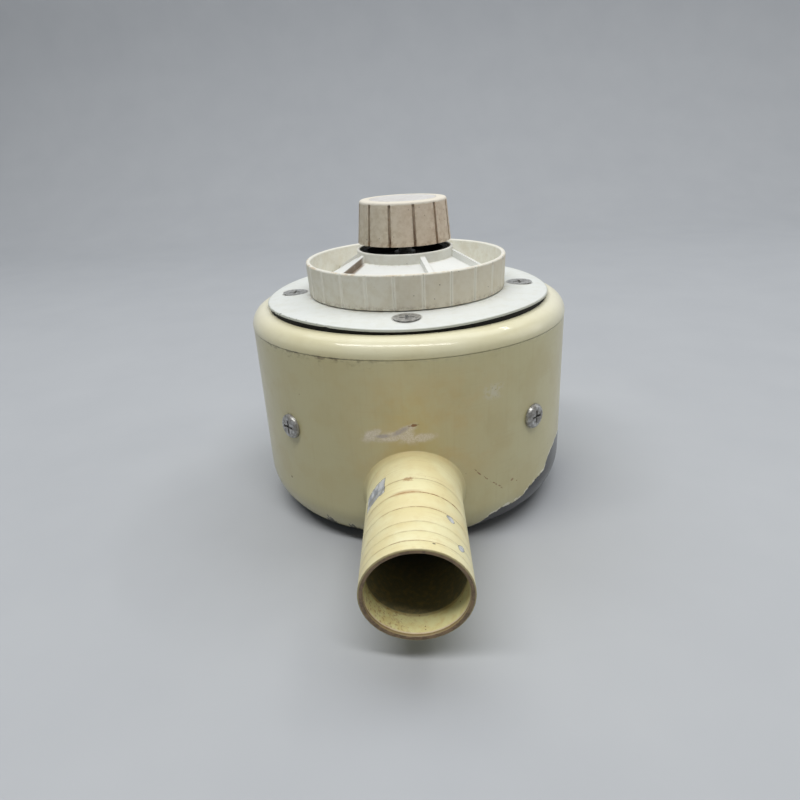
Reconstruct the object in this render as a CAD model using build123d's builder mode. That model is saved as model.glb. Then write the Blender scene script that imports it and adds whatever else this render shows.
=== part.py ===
from build123d import *
import math
import os

# Cabin-air muffler: a spun can with a round inlet tube on its side and a hand-set
# air outlet on its top. Millimetres, +Z up, inlet tube along -Y, origin at the
# centre of the flat base.

# ---------------------------------------------------------------- driving sizes
# can and lid
CAN_R = 60.325
SHEET = 1.25
BASE_CORNER_R = 16.0
SEAM_Z = 72.3
LID_OVERHANG = 0.15
LID_TOP_Z = 78.5
LID_LIP_Z = SEAM_Z + 0.05
LID_LIP_ROUND = 0.4
LID_SKIRT_Z = 64.0
LID_SKIRT_PLAY = 0.03
LID_INNER_ROUND = 3.0
LID_HOLE_R = 30.0

# inlet tube
TUBE_R = 15.875
TUBE_BORE_R = 14.4
TUBE_Z = 24.3
TUBE_MOUTH_Y = 112.3
TUBE_INNER_Y = 46.0
TUBE_NECK_R = 15.4
TUBE_SHOULDER_Y = 62.35
TUBE_HOLE_R = 15.45
TUBE_RIM_ROUND = 0.45
WELD_FILLET = 2.0
WELD_R = TUBE_R + 0.2

# silencer lining
BASE_LINING_R = 45.0
BASE_LINING_Z = (1.3, 7.2)
DRUM_R = (48.2, 49.0)
DRUM_Z = (7.3, 73.8)
DRUM_HOLE_R = 2.5
DRUM_ROWS = 6
DRUM_ROW_PITCH = 10.5
DRUM_FIRST_ROW_Z = 14.0
DRUM_COLUMNS = 20
LINING_R = (49.2, 57.5)
LINING_Z = (10.0, 74.0)

# side screws, which hold the drum through spacers
SIDE_SCREW_Z = 43.5
SIDE_SCREW_ANGLES = (-45, 45, 135, 225)
SIDE_HEAD_R = 4.5
SIDE_HEAD_H = 1.6
SIDE_HEAD_ROUND = 1.3
SIDE_HEAD_SEAT_R = CAN_R + 0.02
SCREW_R = 2.4
SCREW_HOLE_R = 2.5
SIDE_SCREW_TIP = 44.0
SPACER_R = 4.5
SPACER_ENDS = (49.03, 58.85)
LINING_SPACER_HOLE_R = 4.7
SIDE_NUT_ENDS = (45.0, 47.85)
NUT_BORE_R = 2.43
NUT_CORNER_R = 5.2
CROSS_WIDTH = 0.95
CROSS_LENGTH = 5.0
CROSS_DEPTH = 1.2
CROSS_TAPER = 8.0

# trim plate, gasket and its screws
GASKET_T = 2.2
GASKET_R = (31.0, 49.2)
GASKET_EDGE_R = 53.2
GASKET_EDGE_T = 1.2
PLATE_T = 0.9
PLATE_R = 53.9
PLATE_FLAT_R = 49.5
PLATE_DROP = 0.8
PLATE_HOLE_R = 16.4
PLATE_BOTTOM_Z = LID_TOP_Z + GASKET_T
PLATE_TOP_Z = PLATE_BOTTOM_Z + PLATE_T
PLATE_SCREWS = 4
PLATE_SCREW_CIRCLE_R = 44.0
PLATE_HEAD_R = 4.8
PLATE_SINK_R = 4.85
SINK_ANGLE = 82
GASKET_HOLE_R = 4.1
PLATE_SCREW_TIP_Z = 72.0
ANCHOR_NUT_H = 3.2

# outlet body, a flanged nozzle through the plate
BODY_R = 16.2
BODY_BORE_R = 14.4
BODY_LIP_R = 13.2
BODY_LIP_Z = (80.0, 85.3)
BODY_Z = (70.0, 96.5)
BODY_FLANGE_R = 27.0
BODY_FLANGE_T = 2.2
BODY_GROOVE_R = 15.5
BODY_GROOVE_Z = (94.2, 95.4)
LOCK_NUT_R = (16.25, 21.5)
LOCK_NUT_H = 3.4
LOCK_NUT_NOTCH = 4.0
WASHER_R = (16.4, 21.0)
WASHER_T = 0.6
SNAP_RING_R = (15.55, 17.0)
SNAP_RING_Z = (94.3, 95.3)
SNAP_RING_GAP = 4.0

# diffuser ring, turned by hand on the outlet body
RING_TOP_R = 38.1
RING_BOTTOM_R = 37.7
RING_INNER_R = 36.4
RING_Z = (82.1, 94.2)
RING_LIP_ROUND = 0.6
RING_GROOVES = 24
RING_GROOVE_ANGLE = -81.0
RING_GROOVE_SIDE = 1.2
RING_GROOVE_DEPTH = (0.45, 0.35)
HUB_BORE_R = 16.3
HUB_R = 18.3
HUB_COUNTERBORE_R = 17.2
HUB_COUNTERBORE_Z = 94.1
HUB_Z = (85.7, 97.3)
HUB_ROUND = 0.45
CONE_FOOT_Z = 93.6
CONE_SLOPE = 0.535
CONE_T = 2.2
RIB_ANGLES = (-148, -70, -14, 60, 140)
RIB_WIDTH = 1.9
RIB_HUB_Z = 96.4

# valve: seat, bridge and bush in the body, poppet on the spindle
SEAT_R = (10.5, 14.4)
SEAT_Z = (85.3, 88.3)
SEAT_CHAMFER = 1.0
BRIDGE_RIM_R = (12.6, 14.4)
BRIDGE_RIM_Z = (74.0, 79.0)
BRIDGE_HUB_R = 5.5
BRIDGE_HUB_Z = (72.0, 80.0)
BRIDGE_ARMS = 3
BRIDGE_ARM_WIDTH = 2.6
BRIDGE_ARM_Z = (74.5, 78.5)
BUSH_R = 4.0
BUSH_FLANGE_R = 5.2
BUSH_FLANGE_T = 1.0
RUNNING_PLAY = 0.05
SPINDLE_R = 2.5
SPINDLE_Z = (64.7, 111.0)
SPINDLE_COLLAR_R = 4.0
SPINDLE_COLLAR_Z = (94.4, 95.6)
CLIP_GROOVE_R = 2.0
CLIP_PLAY = 0.05
CLIP_R = 4.5
CLIP_T = 1.0
CLIP_GAP = 3.2
POPPET_CLIP_Z = 86.9
STOP_CLIP_Z = 65.9
POPPET_R = 13.0
POPPET_DISC_Z = (91.6, 93.6)
POPPET_HUB_R = 5.0
POPPET_HUB_Z = (88.0, 94.3)
SEAL_R = (9.0, 12.6)
SEAL_Z = (90.6, 91.6)

# control knob
KNOB_BOTTOM_R = 17.6
KNOB_TOP_R = 16.2
KNOB_Z = (99.75, 114.95)
KNOB_ROUND = 0.9
KNOB_WALL = 2.3
KNOB_CEILING_Z = 111.7
KNOB_BOSS_R = 6.0
KNOB_BOSS_Z = 101.5
KNOB_GROOVES = 12
KNOB_GROOVE_ANGLE = -77.0
KNOB_GROOVE_DEPTH = 0.6
KNOB_GROOVE_WIDTH = 1.0
KNOB_GROOVE_TOP_Z = 114.1
CAP_R = 12.5
CAP_T = 1.0
CAP_PLAY = 0.05
INSERT_R = 4.0
INSERT_Z = (101.5, 111.0)
KNOB_SCREW_R = 1.2
KNOB_SCREW_HOLE_R = 1.25
KNOB_SCREW_CLEAR_R = 1.5
KNOB_SCREW_Z = (105.5, 111.7)
KNOB_SCREW_HOLE_Z = 105.0
KNOB_SCREW_HEAD_R = 3.0
KNOB_SCREW_HEAD_H = 1.7
KNOB_SCREW_SLOT_WIDTH = 0.6
KNOB_SCREW_SLOT_DEPTH = 0.85
KNOB_SCREW_SINK_R = 3.4

# how far cutting tools run past the faces they cut
CUT_MARGIN = 1.0
PERFORATION_REACH = 2.0

CAN_BORE_R = CAN_R - SHEET
CUT_REACH = CAN_R + CUT_MARGIN
LID_UNDER_Z = LID_TOP_Z - SHEET
INLET_PLANE = Plane(origin=(0, 0, TUBE_Z), x_dir=(1, 0, 0), z_dir=(0, -1, 0))


def radial_plane(angle, height, distance=0.0):
    """Plane across a radius: its normal points outward at the given angle."""
    a = math.radians(angle)
    origin = (distance * math.cos(a), distance * math.sin(a), height)
    return Plane(origin=origin, x_dir=(-math.sin(a), math.cos(a), 0), z_dir=(math.cos(a), math.sin(a), 0))


def section_plane(angle):
    """Upright plane through the axis: local x is the radius, local y is height."""
    a = math.radians(angle)
    return Plane(origin=(0, 0, 0), x_dir=(math.cos(a), math.sin(a), 0), z_dir=(math.sin(a), -math.cos(a), 0))


def cone_height(radius):
    """Height of the ring's cone above a given radius."""
    return CONE_FOOT_Z - CONE_SLOPE * (radius - HUB_R)


os.makedirs("parts", exist_ok=True)

# --------------------------------------------------------------------- can body
with BuildPart() as can_body:
    with BuildSketch(Plane.XZ):
        with BuildLine():
            flat_r = CAN_R - BASE_CORNER_R
            base = Line((0, 0), (flat_r, 0))
            outer_corner = CenterArc((flat_r, BASE_CORNER_R), BASE_CORNER_R, 270, 90)
            outer_wall = Line(outer_corner @ 1, (CAN_R, SEAM_Z))
            rim = Line(outer_wall @ 1, (CAN_BORE_R, SEAM_Z))
            inner_wall = Line(rim @ 1, (CAN_BORE_R, BASE_CORNER_R))
            inner_corner = CenterArc((flat_r, BASE_CORNER_R), BASE_CORNER_R - SHEET, 0, -90)
            inner_base = Line(inner_corner @ 1, (0, SHEET))
            Line(inner_base @ 1, base @ 0)
        make_face()
    revolve(axis=Axis.Z)
    with BuildSketch(INLET_PLANE):
        Circle(TUBE_HOLE_R)
    extrude(amount=CUT_REACH, mode=Mode.SUBTRACT)
    for screw_angle in SIDE_SCREW_ANGLES:
        with BuildSketch(radial_plane(screw_angle, SIDE_SCREW_Z)):
            Circle(SCREW_HOLE_R)
        extrude(amount=CUT_REACH, mode=Mode.SUBTRACT)
can_body.part.label = "can_body"
export_step(can_body.part, "parts/can_body.step")

# -------------------------------------------------------------------------- lid
with BuildPart() as lid:
    lid_r = CAN_R + LID_OVERHANG
    skirt_r = CAN_BORE_R - LID_SKIRT_PLAY
    skirt_bore_r = skirt_r - SHEET
    shoulder_r = LID_TOP_Z - LID_LIP_Z - LID_LIP_ROUND
    with BuildSketch(Plane.XZ):
        with BuildLine():
            under = Line((LID_HOLE_R, LID_UNDER_Z), (skirt_bore_r - LID_INNER_ROUND, LID_UNDER_Z))
            inner_round = CenterArc(
                (skirt_bore_r - LID_INNER_ROUND, LID_UNDER_Z - LID_INNER_ROUND), LID_INNER_ROUND, 90, -90
            )
            skirt = Polyline(
                inner_round @ 1,
                (skirt_bore_r, LID_SKIRT_Z),
                (skirt_r, LID_SKIRT_Z),
                (skirt_r, LID_LIP_Z),
                (lid_r - LID_LIP_ROUND, LID_LIP_Z),
            )
            lip = CenterArc((lid_r - LID_LIP_ROUND, LID_LIP_Z + LID_LIP_ROUND), LID_LIP_ROUND, 270, 90)
            shoulder = CenterArc((lid_r - shoulder_r, LID_LIP_Z + LID_LIP_ROUND), shoulder_r, 0, 90)
            Polyline(shoulder @ 1, (LID_HOLE_R, LID_TOP_Z), under @ 0)
        make_face()
    revolve(axis=Axis.Z)
    with BuildSketch(Plane.XY.offset(LID_UNDER_Z)):
        with PolarLocations(PLATE_SCREW_CIRCLE_R, PLATE_SCREWS):
            Circle(SCREW_HOLE_R)
    extrude(amount=SHEET, mode=Mode.SUBTRACT)
lid.part.label = "lid"
export_step(lid.part, "parts/lid.step")

# ------------------------------------------------------------------- inlet tube
with BuildPart() as inlet_tube:
    with BuildSketch(INLET_PLANE.offset(TUBE_INNER_Y)):
        Circle(TUBE_NECK_R)
    extrude(amount=TUBE_SHOULDER_Y - TUBE_INNER_Y)
    with BuildSketch(INLET_PLANE.offset(TUBE_SHOULDER_Y)):
        Circle(TUBE_R)
    extrude(amount=TUBE_MOUTH_Y - TUBE_SHOULDER_Y)
    with BuildSketch(INLET_PLANE.offset(TUBE_INNER_Y)):
        Circle(TUBE_BORE_R)
    extrude(amount=TUBE_MOUTH_Y - TUBE_INNER_Y, mode=Mode.SUBTRACT)
    mouth = inlet_tube.faces().sort_by(Axis.Y)[0]
    fillet(mouth.edges(), TUBE_RIM_ROUND)
inlet_tube.part.label = "inlet_tube"
export_step(inlet_tube.part, "parts/inlet_tube.step")

# ------------------------------------------------- weld collar at the tube root
with BuildPart() as can_solid:
    with BuildSketch(Plane.XY):
        Circle(CAN_R)
    extrude(amount=SEAM_Z)
    fillet(can_solid.edges().group_by(Axis.Z)[0], BASE_CORNER_R)

with BuildPart() as weld_core:
    with BuildSketch(INLET_PLANE):
        Circle(WELD_R)
    extrude(amount=TUBE_MOUTH_Y)

with BuildPart() as inlet_weld:
    add(can_solid.part)
    add(weld_core.part)
    root_edges = inlet_weld.edges().filter_by(lambda e: e.geom_type not in (GeomType.LINE, GeomType.CIRCLE))
    fillet(root_edges, WELD_FILLET)
    add(can_solid.part, mode=Mode.SUBTRACT)
    with BuildSketch(INLET_PLANE):
        Circle(TUBE_NECK_R)
    extrude(amount=TUBE_MOUTH_Y, mode=Mode.SUBTRACT)
    with BuildSketch(INLET_PLANE.offset(TUBE_SHOULDER_Y)):
        Circle(WELD_R + WELD_FILLET)
    extrude(amount=TUBE_MOUTH_Y, mode=Mode.SUBTRACT)
inlet_weld.part.label = "inlet_weld"
export_step(inlet_weld.part, "parts/inlet_weld.step")

# ------------------------------------------------------- lining of the silencer
with BuildPart() as base_lining:
    with BuildSketch(Plane.XY.offset(BASE_LINING_Z[0])):
        Circle(BASE_LINING_R)
    extrude(amount=BASE_LINING_Z[1] - BASE_LINING_Z[0])
base_lining.part.label = "base_lining"
export_step(base_lining.part, "parts/base_lining.step")

with BuildPart() as wall_lining:
    with BuildSketch(Plane.XY.offset(LINING_Z[0])):
        Circle(LINING_R[1])
        Circle(LINING_R[0], mode=Mode.SUBTRACT)
    extrude(amount=LINING_Z[1] - LINING_Z[0])
    with BuildSketch(INLET_PLANE):
        Circle(TUBE_HOLE_R)
    extrude(amount=CUT_REACH, mode=Mode.SUBTRACT)
    for screw_angle in SIDE_SCREW_ANGLES:
        with BuildSketch(radial_plane(screw_angle, SIDE_SCREW_Z)):
            Circle(LINING_SPACER_HOLE_R)
        extrude(amount=CUT_REACH, mode=Mode.SUBTRACT)
wall_lining.part.label = "wall_lining"
export_step(wall_lining.part, "parts/wall_lining.step")


def clear_of_fittings(angle, height):
    """True where a perforation misses the inlet tube and the side screws."""
    from_tube = math.radians(angle + 90)
    across = DRUM_R[1] * math.sin(from_tube)
    tube_side = math.cos(from_tube) > 0
    near_tube = tube_side and math.hypot(across, height - TUBE_Z) < TUBE_HOLE_R + 2 * DRUM_HOLE_R
    for screw_angle in SIDE_SCREW_ANGLES:
        arc = DRUM_R[1] * math.radians((angle - screw_angle + 180) % 360 - 180)
        if math.hypot(arc, height - SIDE_SCREW_Z) < NUT_CORNER_R + 2 * DRUM_HOLE_R:
            return False
    return not near_tube


with BuildPart() as perforated_drum:
    with BuildSketch(Plane.XY.offset(DRUM_Z[0])):
        Circle(DRUM_R[1])
        Circle(DRUM_R[0], mode=Mode.SUBTRACT)
    extrude(amount=DRUM_Z[1] - DRUM_Z[0])
    with BuildSketch(INLET_PLANE):
        Circle(TUBE_HOLE_R)
    extrude(amount=CUT_REACH, mode=Mode.SUBTRACT)
    for screw_angle in SIDE_SCREW_ANGLES:
        with BuildSketch(radial_plane(screw_angle, SIDE_SCREW_Z)):
            Circle(SCREW_HOLE_R)
        extrude(amount=CUT_REACH, mode=Mode.SUBTRACT)
    for row in range(DRUM_ROWS):
        hole_z = DRUM_FIRST_ROW_Z + row * DRUM_ROW_PITCH
        for column in range(DRUM_COLUMNS):
            hole_angle = (column + 0.5 * (row % 2)) * 360 / DRUM_COLUMNS
            if clear_of_fittings(hole_angle, hole_z):
                with BuildSketch(radial_plane(hole_angle, hole_z, DRUM_R[0] - PERFORATION_REACH)):
                    Circle(DRUM_HOLE_R)
                extrude(amount=2 * PERFORATION_REACH, mode=Mode.SUBTRACT)
perforated_drum.part.label = "perforated_drum"
export_step(perforated_drum.part, "parts/perforated_drum.step")

# ------------------------------------------ side screws, their spacers and nuts
with BuildPart() as side_screw:
    with BuildSketch(Plane.XY.offset(SIDE_HEAD_SEAT_R)):
        Circle(SIDE_HEAD_R)
    extrude(amount=SIDE_HEAD_H)
    fillet(side_screw.edges().group_by(Axis.Z)[-1], SIDE_HEAD_ROUND)
    with BuildSketch(Plane.XY.offset(SIDE_SCREW_TIP)):
        Circle(SCREW_R)
    extrude(amount=SIDE_HEAD_SEAT_R + SIDE_HEAD_H / 2 - SIDE_SCREW_TIP)
    with BuildSketch(Plane.XY.offset(SIDE_HEAD_SEAT_R + SIDE_HEAD_H)):
        Rectangle(CROSS_LENGTH, CROSS_WIDTH)
        Rectangle(CROSS_WIDTH, CROSS_LENGTH)
    extrude(amount=-CROSS_DEPTH, taper=CROSS_TAPER, mode=Mode.SUBTRACT)

with BuildPart() as spacer:
    with BuildSketch(Plane.XY.offset(SPACER_ENDS[0])):
        Circle(SPACER_R)
        Circle(SCREW_HOLE_R, mode=Mode.SUBTRACT)
    extrude(amount=SPACER_ENDS[1] - SPACER_ENDS[0])

with BuildPart() as side_nut:
    with BuildSketch(Plane.XY.offset(SIDE_NUT_ENDS[0])):
        RegularPolygon(NUT_CORNER_R, 6)
        Circle(NUT_BORE_R, mode=Mode.SUBTRACT)
    extrude(amount=SIDE_NUT_ENDS[1] - SIDE_NUT_ENDS[0])

SIDE_PLANES = [radial_plane(screw_angle, SIDE_SCREW_Z) for screw_angle in SIDE_SCREW_ANGLES]

with BuildPart() as side_screws:
    with Locations(*SIDE_PLANES):
        add(side_screw.part)
side_screws.part.label = "side_screws"
export_step(side_screws.part, "parts/side_screws.step")

with BuildPart() as drum_spacers:
    with Locations(*SIDE_PLANES):
        add(spacer.part)
drum_spacers.part.label = "drum_spacers"
export_step(drum_spacers.part, "parts/drum_spacers.step")

with BuildPart() as side_nuts:
    with Locations(*SIDE_PLANES):
        add(side_nut.part)
side_nuts.part.label = "side_nuts"
export_step(side_nuts.part, "parts/side_nuts.step")

# ------------------------------------------------ trim plate, gasket, fasteners
with BuildPart() as plate_gasket:
    with BuildSketch(Plane.XZ):
        with BuildLine():
            Polyline(
                (GASKET_R[0], LID_TOP_Z),
                (GASKET_EDGE_R, LID_TOP_Z),
                (GASKET_EDGE_R, LID_TOP_Z + GASKET_EDGE_T),
                (GASKET_R[1], PLATE_BOTTOM_Z),
                (GASKET_R[0], PLATE_BOTTOM_Z),
                close=True,
            )
        make_face()
    revolve(axis=Axis.Z)
    with BuildSketch(Plane.XY.offset(LID_TOP_Z)):
        with PolarLocations(PLATE_SCREW_CIRCLE_R, PLATE_SCREWS):
            Circle(GASKET_HOLE_R)
    extrude(amount=GASKET_T, mode=Mode.SUBTRACT)
plate_gasket.part.label = "plate_gasket"
export_step(plate_gasket.part, "parts/plate_gasket.step")

with BuildPart() as trim_plate:
    with BuildSketch(Plane.XZ):
        with BuildLine():
            top_flat = Line((PLATE_HOLE_R, PLATE_TOP_Z), (PLATE_FLAT_R, PLATE_TOP_Z))
            top_dish = TangentArc(top_flat @ 1, (PLATE_R, PLATE_TOP_Z - PLATE_DROP), tangent=(1, 0))
            edge = Line(top_dish @ 1, (PLATE_R, PLATE_BOTTOM_Z - PLATE_DROP))
            under_flat = Line((PLATE_HOLE_R, PLATE_BOTTOM_Z), (PLATE_FLAT_R, PLATE_BOTTOM_Z))
            TangentArc(under_flat @ 1, edge @ 1, tangent=(1, 0))
            Line(under_flat @ 0, top_flat @ 0)
        make_face()
    revolve(axis=Axis.Z)
    with Locations(Plane.XY.offset(PLATE_TOP_Z)):
        with PolarLocations(PLATE_SCREW_CIRCLE_R, PLATE_SCREWS):
            CounterSinkHole(SCREW_HOLE_R, PLATE_SINK_R, depth=PLATE_T, counter_sink_angle=SINK_ANGLE)
trim_plate.part.label = "trim_plate"
export_step(trim_plate.part, "parts/trim_plate.step")

with BuildPart() as plate_screw:
    head_depth = (PLATE_HEAD_R - SCREW_R) / math.tan(math.radians(SINK_ANGLE / 2))
    with BuildSketch(Plane.XZ):
        with BuildLine():
            Polyline(
                (0, PLATE_TOP_Z),
                (PLATE_HEAD_R, PLATE_TOP_Z),
                (SCREW_R, PLATE_TOP_Z - head_depth),
                (SCREW_R, PLATE_SCREW_TIP_Z),
                (0, PLATE_SCREW_TIP_Z),
                close=True,
            )
        make_face()
    revolve(axis=Axis.Z)
    with BuildSketch(Plane.XY.offset(PLATE_TOP_Z)):
        Rectangle(CROSS_LENGTH, CROSS_WIDTH)
        Rectangle(CROSS_WIDTH, CROSS_LENGTH)
    extrude(amount=-CROSS_DEPTH, taper=CROSS_TAPER, mode=Mode.SUBTRACT)

with BuildPart() as plate_screws:
    with PolarLocations(PLATE_SCREW_CIRCLE_R, PLATE_SCREWS):
        add(plate_screw.part)
plate_screws.part.label = "plate_screws"
export_step(plate_screws.part, "parts/plate_screws.step")

with BuildPart() as anchor_nuts:
    with BuildSketch(Plane.XY.offset(LID_UNDER_Z - ANCHOR_NUT_H)):
        with PolarLocations(PLATE_SCREW_CIRCLE_R, PLATE_SCREWS):
            RegularPolygon(NUT_CORNER_R, 6)
            Circle(NUT_BORE_R, mode=Mode.SUBTRACT)
    extrude(amount=ANCHOR_NUT_H)
anchor_nuts.part.label = "anchor_nuts"
export_step(anchor_nuts.part, "parts/anchor_nuts.step")

# ------------------------------------- outlet body with its nut, washer and ring
with BuildPart() as outlet_body:
    with BuildSketch(Plane.XZ):
        with BuildLine():
            Polyline(
                (BODY_BORE_R, BODY_Z[0]),
                (BODY_R, BODY_Z[0]),
                (BODY_R, PLATE_BOTTOM_Z - BODY_FLANGE_T),
                (BODY_FLANGE_R, PLATE_BOTTOM_Z - BODY_FLANGE_T),
                (BODY_FLANGE_R, PLATE_BOTTOM_Z),
                (BODY_R, PLATE_BOTTOM_Z),
                (BODY_R, BODY_GROOVE_Z[0]),
                (BODY_GROOVE_R, BODY_GROOVE_Z[0]),
                (BODY_GROOVE_R, BODY_GROOVE_Z[1]),
                (BODY_R, BODY_GROOVE_Z[1]),
                (BODY_R, BODY_Z[1]),
                (BODY_BORE_R, BODY_Z[1]),
                (BODY_BORE_R, BODY_LIP_Z[1]),
                (BODY_LIP_R, BODY_LIP_Z[1]),
                (BODY_LIP_R, BODY_LIP_Z[0]),
                (BODY_BORE_R, BODY_LIP_Z[0]),
                close=True,
            )
        make_face()
    revolve(axis=Axis.Z)
outlet_body.part.label = "outlet_body"
export_step(outlet_body.part, "parts/outlet_body.step")

with BuildPart() as lock_nut:
    with BuildSketch(Plane.XY.offset(PLATE_TOP_Z)):
        Circle(LOCK_NUT_R[1])
        Circle(LOCK_NUT_R[0], mode=Mode.SUBTRACT)
        with PolarLocations(LOCK_NUT_R[1], 4, start_angle=45):
            Rectangle(LOCK_NUT_NOTCH, LOCK_NUT_NOTCH, mode=Mode.SUBTRACT)
    extrude(amount=LOCK_NUT_H)
lock_nut.part.label = "lock_nut"
export_step(lock_nut.part, "parts/lock_nut.step")

with BuildPart() as friction_washer:
    with BuildSketch(Plane.XY.offset(PLATE_TOP_Z + LOCK_NUT_H)):
        Circle(WASHER_R[1])
        Circle(WASHER_R[0], mode=Mode.SUBTRACT)
    extrude(amount=WASHER_T)
friction_washer.part.label = "friction_washer"
export_step(friction_washer.part, "parts/friction_washer.step")

with BuildPart() as snap_ring:
    with BuildSketch(Plane.XY.offset(SNAP_RING_Z[0])):
        Circle(SNAP_RING_R[1])
        Circle(SNAP_RING_R[0], mode=Mode.SUBTRACT)
        with Locations((0, SNAP_RING_R[1])):
            Rectangle(SNAP_RING_GAP, SNAP_RING_GAP, mode=Mode.SUBTRACT)
    extrude(amount=SNAP_RING_Z[1] - SNAP_RING_Z[0])
snap_ring.part.label = "snap_ring"
export_step(snap_ring.part, "parts/snap_ring.step")

# ---------------------------------------------------------------- diffuser ring
with BuildPart() as ring_groove:
    groove_reach = RING_GROOVE_SIDE / math.sqrt(2)
    with BuildSketch(Plane.XY.offset(RING_Z[0] - CUT_MARGIN)):
        with Locations((RING_BOTTOM_R - RING_GROOVE_DEPTH[0] + groove_reach, 0)):
            Rectangle(RING_GROOVE_SIDE, RING_GROOVE_SIDE, rotation=45)
    with BuildSketch(Plane.XY.offset(RING_Z[1] + CUT_MARGIN)):
        with Locations((RING_TOP_R - RING_GROOVE_DEPTH[1] + groove_reach, 0)):
            Rectangle(RING_GROOVE_SIDE, RING_GROOVE_SIDE, rotation=45)
    loft()

with BuildPart() as diffuser_ring:
    with BuildSketch(Plane.XZ):
        with BuildLine():
            ring_inside_z = cone_height(RING_INNER_R)
            Polyline(
                (HUB_BORE_R, HUB_Z[0]),
                (HUB_R, HUB_Z[0]),
                (HUB_R, CONE_FOOT_Z - CONE_T),
                (RING_INNER_R, ring_inside_z - CONE_T),
                (RING_INNER_R, RING_Z[0]),
                (RING_BOTTOM_R, RING_Z[0]),
                (RING_TOP_R, RING_Z[1]),
                (RING_INNER_R, RING_Z[1]),
                (RING_INNER_R, ring_inside_z),
                (HUB_R, CONE_FOOT_Z),
                (HUB_R, HUB_Z[1]),
                (HUB_COUNTERBORE_R, HUB_Z[1]),
                (HUB_COUNTERBORE_R, HUB_COUNTERBORE_Z),
                (HUB_BORE_R, HUB_COUNTERBORE_Z),
                close=True,
            )
        make_face()
    revolve(axis=Axis.Z)
    for rib_angle in RIB_ANGLES:
        rib_start_r = (HUB_COUNTERBORE_R + HUB_R) / 2
        rib_end_r = (RING_INNER_R + RING_BOTTOM_R) / 2
        with BuildSketch(section_plane(rib_angle)):
            with BuildLine():
                Polyline(
                    (rib_start_r, RIB_HUB_Z),
                    (rib_end_r, RIB_HUB_Z - CONE_SLOPE * (rib_end_r - rib_start_r)),
                    (rib_end_r, cone_height(rib_end_r) - CONE_T / 2),
                    (rib_start_r, cone_height(rib_start_r) - CONE_T / 2),
                    close=True,
                )
            make_face()
        extrude(amount=RIB_WIDTH / 2, both=True)
    fillet(diffuser_ring.edges().group_by(Axis.Z)[-1], HUB_ROUND)
    round_edges = diffuser_ring.edges().filter_by(GeomType.CIRCLE)
    lip_edges = round_edges.filter_by_position(Axis.Z, RING_Z[1], RING_Z[1]).filter_by(lambda e: e.radius > HUB_R)
    fillet(lip_edges, RING_LIP_ROUND)
    with PolarLocations(0, RING_GROOVES, start_angle=RING_GROOVE_ANGLE):
        add(ring_groove.part, mode=Mode.SUBTRACT)
diffuser_ring.part.label = "diffuser_ring"
export_step(diffuser_ring.part, "parts/diffuser_ring.step")

# -------------------------------------------------------- valve seat and bridge
with BuildPart() as valve_seat:
    with BuildSketch(Plane.XY.offset(SEAT_Z[0])):
        Circle(SEAT_R[1])
        Circle(SEAT_R[0], mode=Mode.SUBTRACT)
    extrude(amount=SEAT_Z[1] - SEAT_Z[0])
    seat_bore_edge = valve_seat.edges().group_by(Axis.Z)[0].sort_by(SortBy.LENGTH)[0]
    chamfer(seat_bore_edge, SEAT_CHAMFER)
valve_seat.part.label = "valve_seat"
export_step(valve_seat.part, "parts/valve_seat.step")

with BuildPart() as spindle_bridge:
    with BuildSketch(Plane.XY.offset(BRIDGE_ARM_Z[0])):
        with PolarLocations((BUSH_R + BRIDGE_RIM_R[1]) / 2, BRIDGE_ARMS, start_angle=30):
            Rectangle(BRIDGE_RIM_R[0] - BUSH_R, BRIDGE_ARM_WIDTH)
    extrude(amount=BRIDGE_ARM_Z[1] - BRIDGE_ARM_Z[0])
    with BuildSketch(Plane.XY.offset(BRIDGE_RIM_Z[0])):
        Circle(BRIDGE_RIM_R[1])
        Circle(BRIDGE_RIM_R[0], mode=Mode.SUBTRACT)
    extrude(amount=BRIDGE_RIM_Z[1] - BRIDGE_RIM_Z[0])
    with BuildSketch(Plane.XY.offset(BRIDGE_HUB_Z[0])):
        Circle(BRIDGE_HUB_R)
    extrude(amount=BRIDGE_HUB_Z[1] - BRIDGE_HUB_Z[0])
    with BuildSketch(Plane.XY.offset(BRIDGE_HUB_Z[0])):
        Circle(BUSH_R)
    extrude(amount=BRIDGE_HUB_Z[1] - BRIDGE_HUB_Z[0], mode=Mode.SUBTRACT)
spindle_bridge.part.label = "spindle_bridge"
export_step(spindle_bridge.part, "parts/spindle_bridge.step")

with BuildPart() as bridge_bush:
    with BuildSketch(Plane.XY.offset(BRIDGE_HUB_Z[0] - BUSH_FLANGE_T)):
        Circle(BUSH_FLANGE_R)
    extrude(amount=BUSH_FLANGE_T)
    with BuildSketch(Plane.XY.offset(BRIDGE_HUB_Z[0])):
        Circle(BUSH_R)
    extrude(amount=BRIDGE_HUB_Z[1] - BRIDGE_HUB_Z[0])
    with BuildSketch(Plane.XY.offset(BRIDGE_HUB_Z[0] - BUSH_FLANGE_T)):
        Circle(SPINDLE_R + RUNNING_PLAY)
    extrude(amount=BRIDGE_HUB_Z[1] - BRIDGE_HUB_Z[0] + BUSH_FLANGE_T, mode=Mode.SUBTRACT)
bridge_bush.part.label = "bridge_bush"
export_step(bridge_bush.part, "parts/bridge_bush.step")

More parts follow.
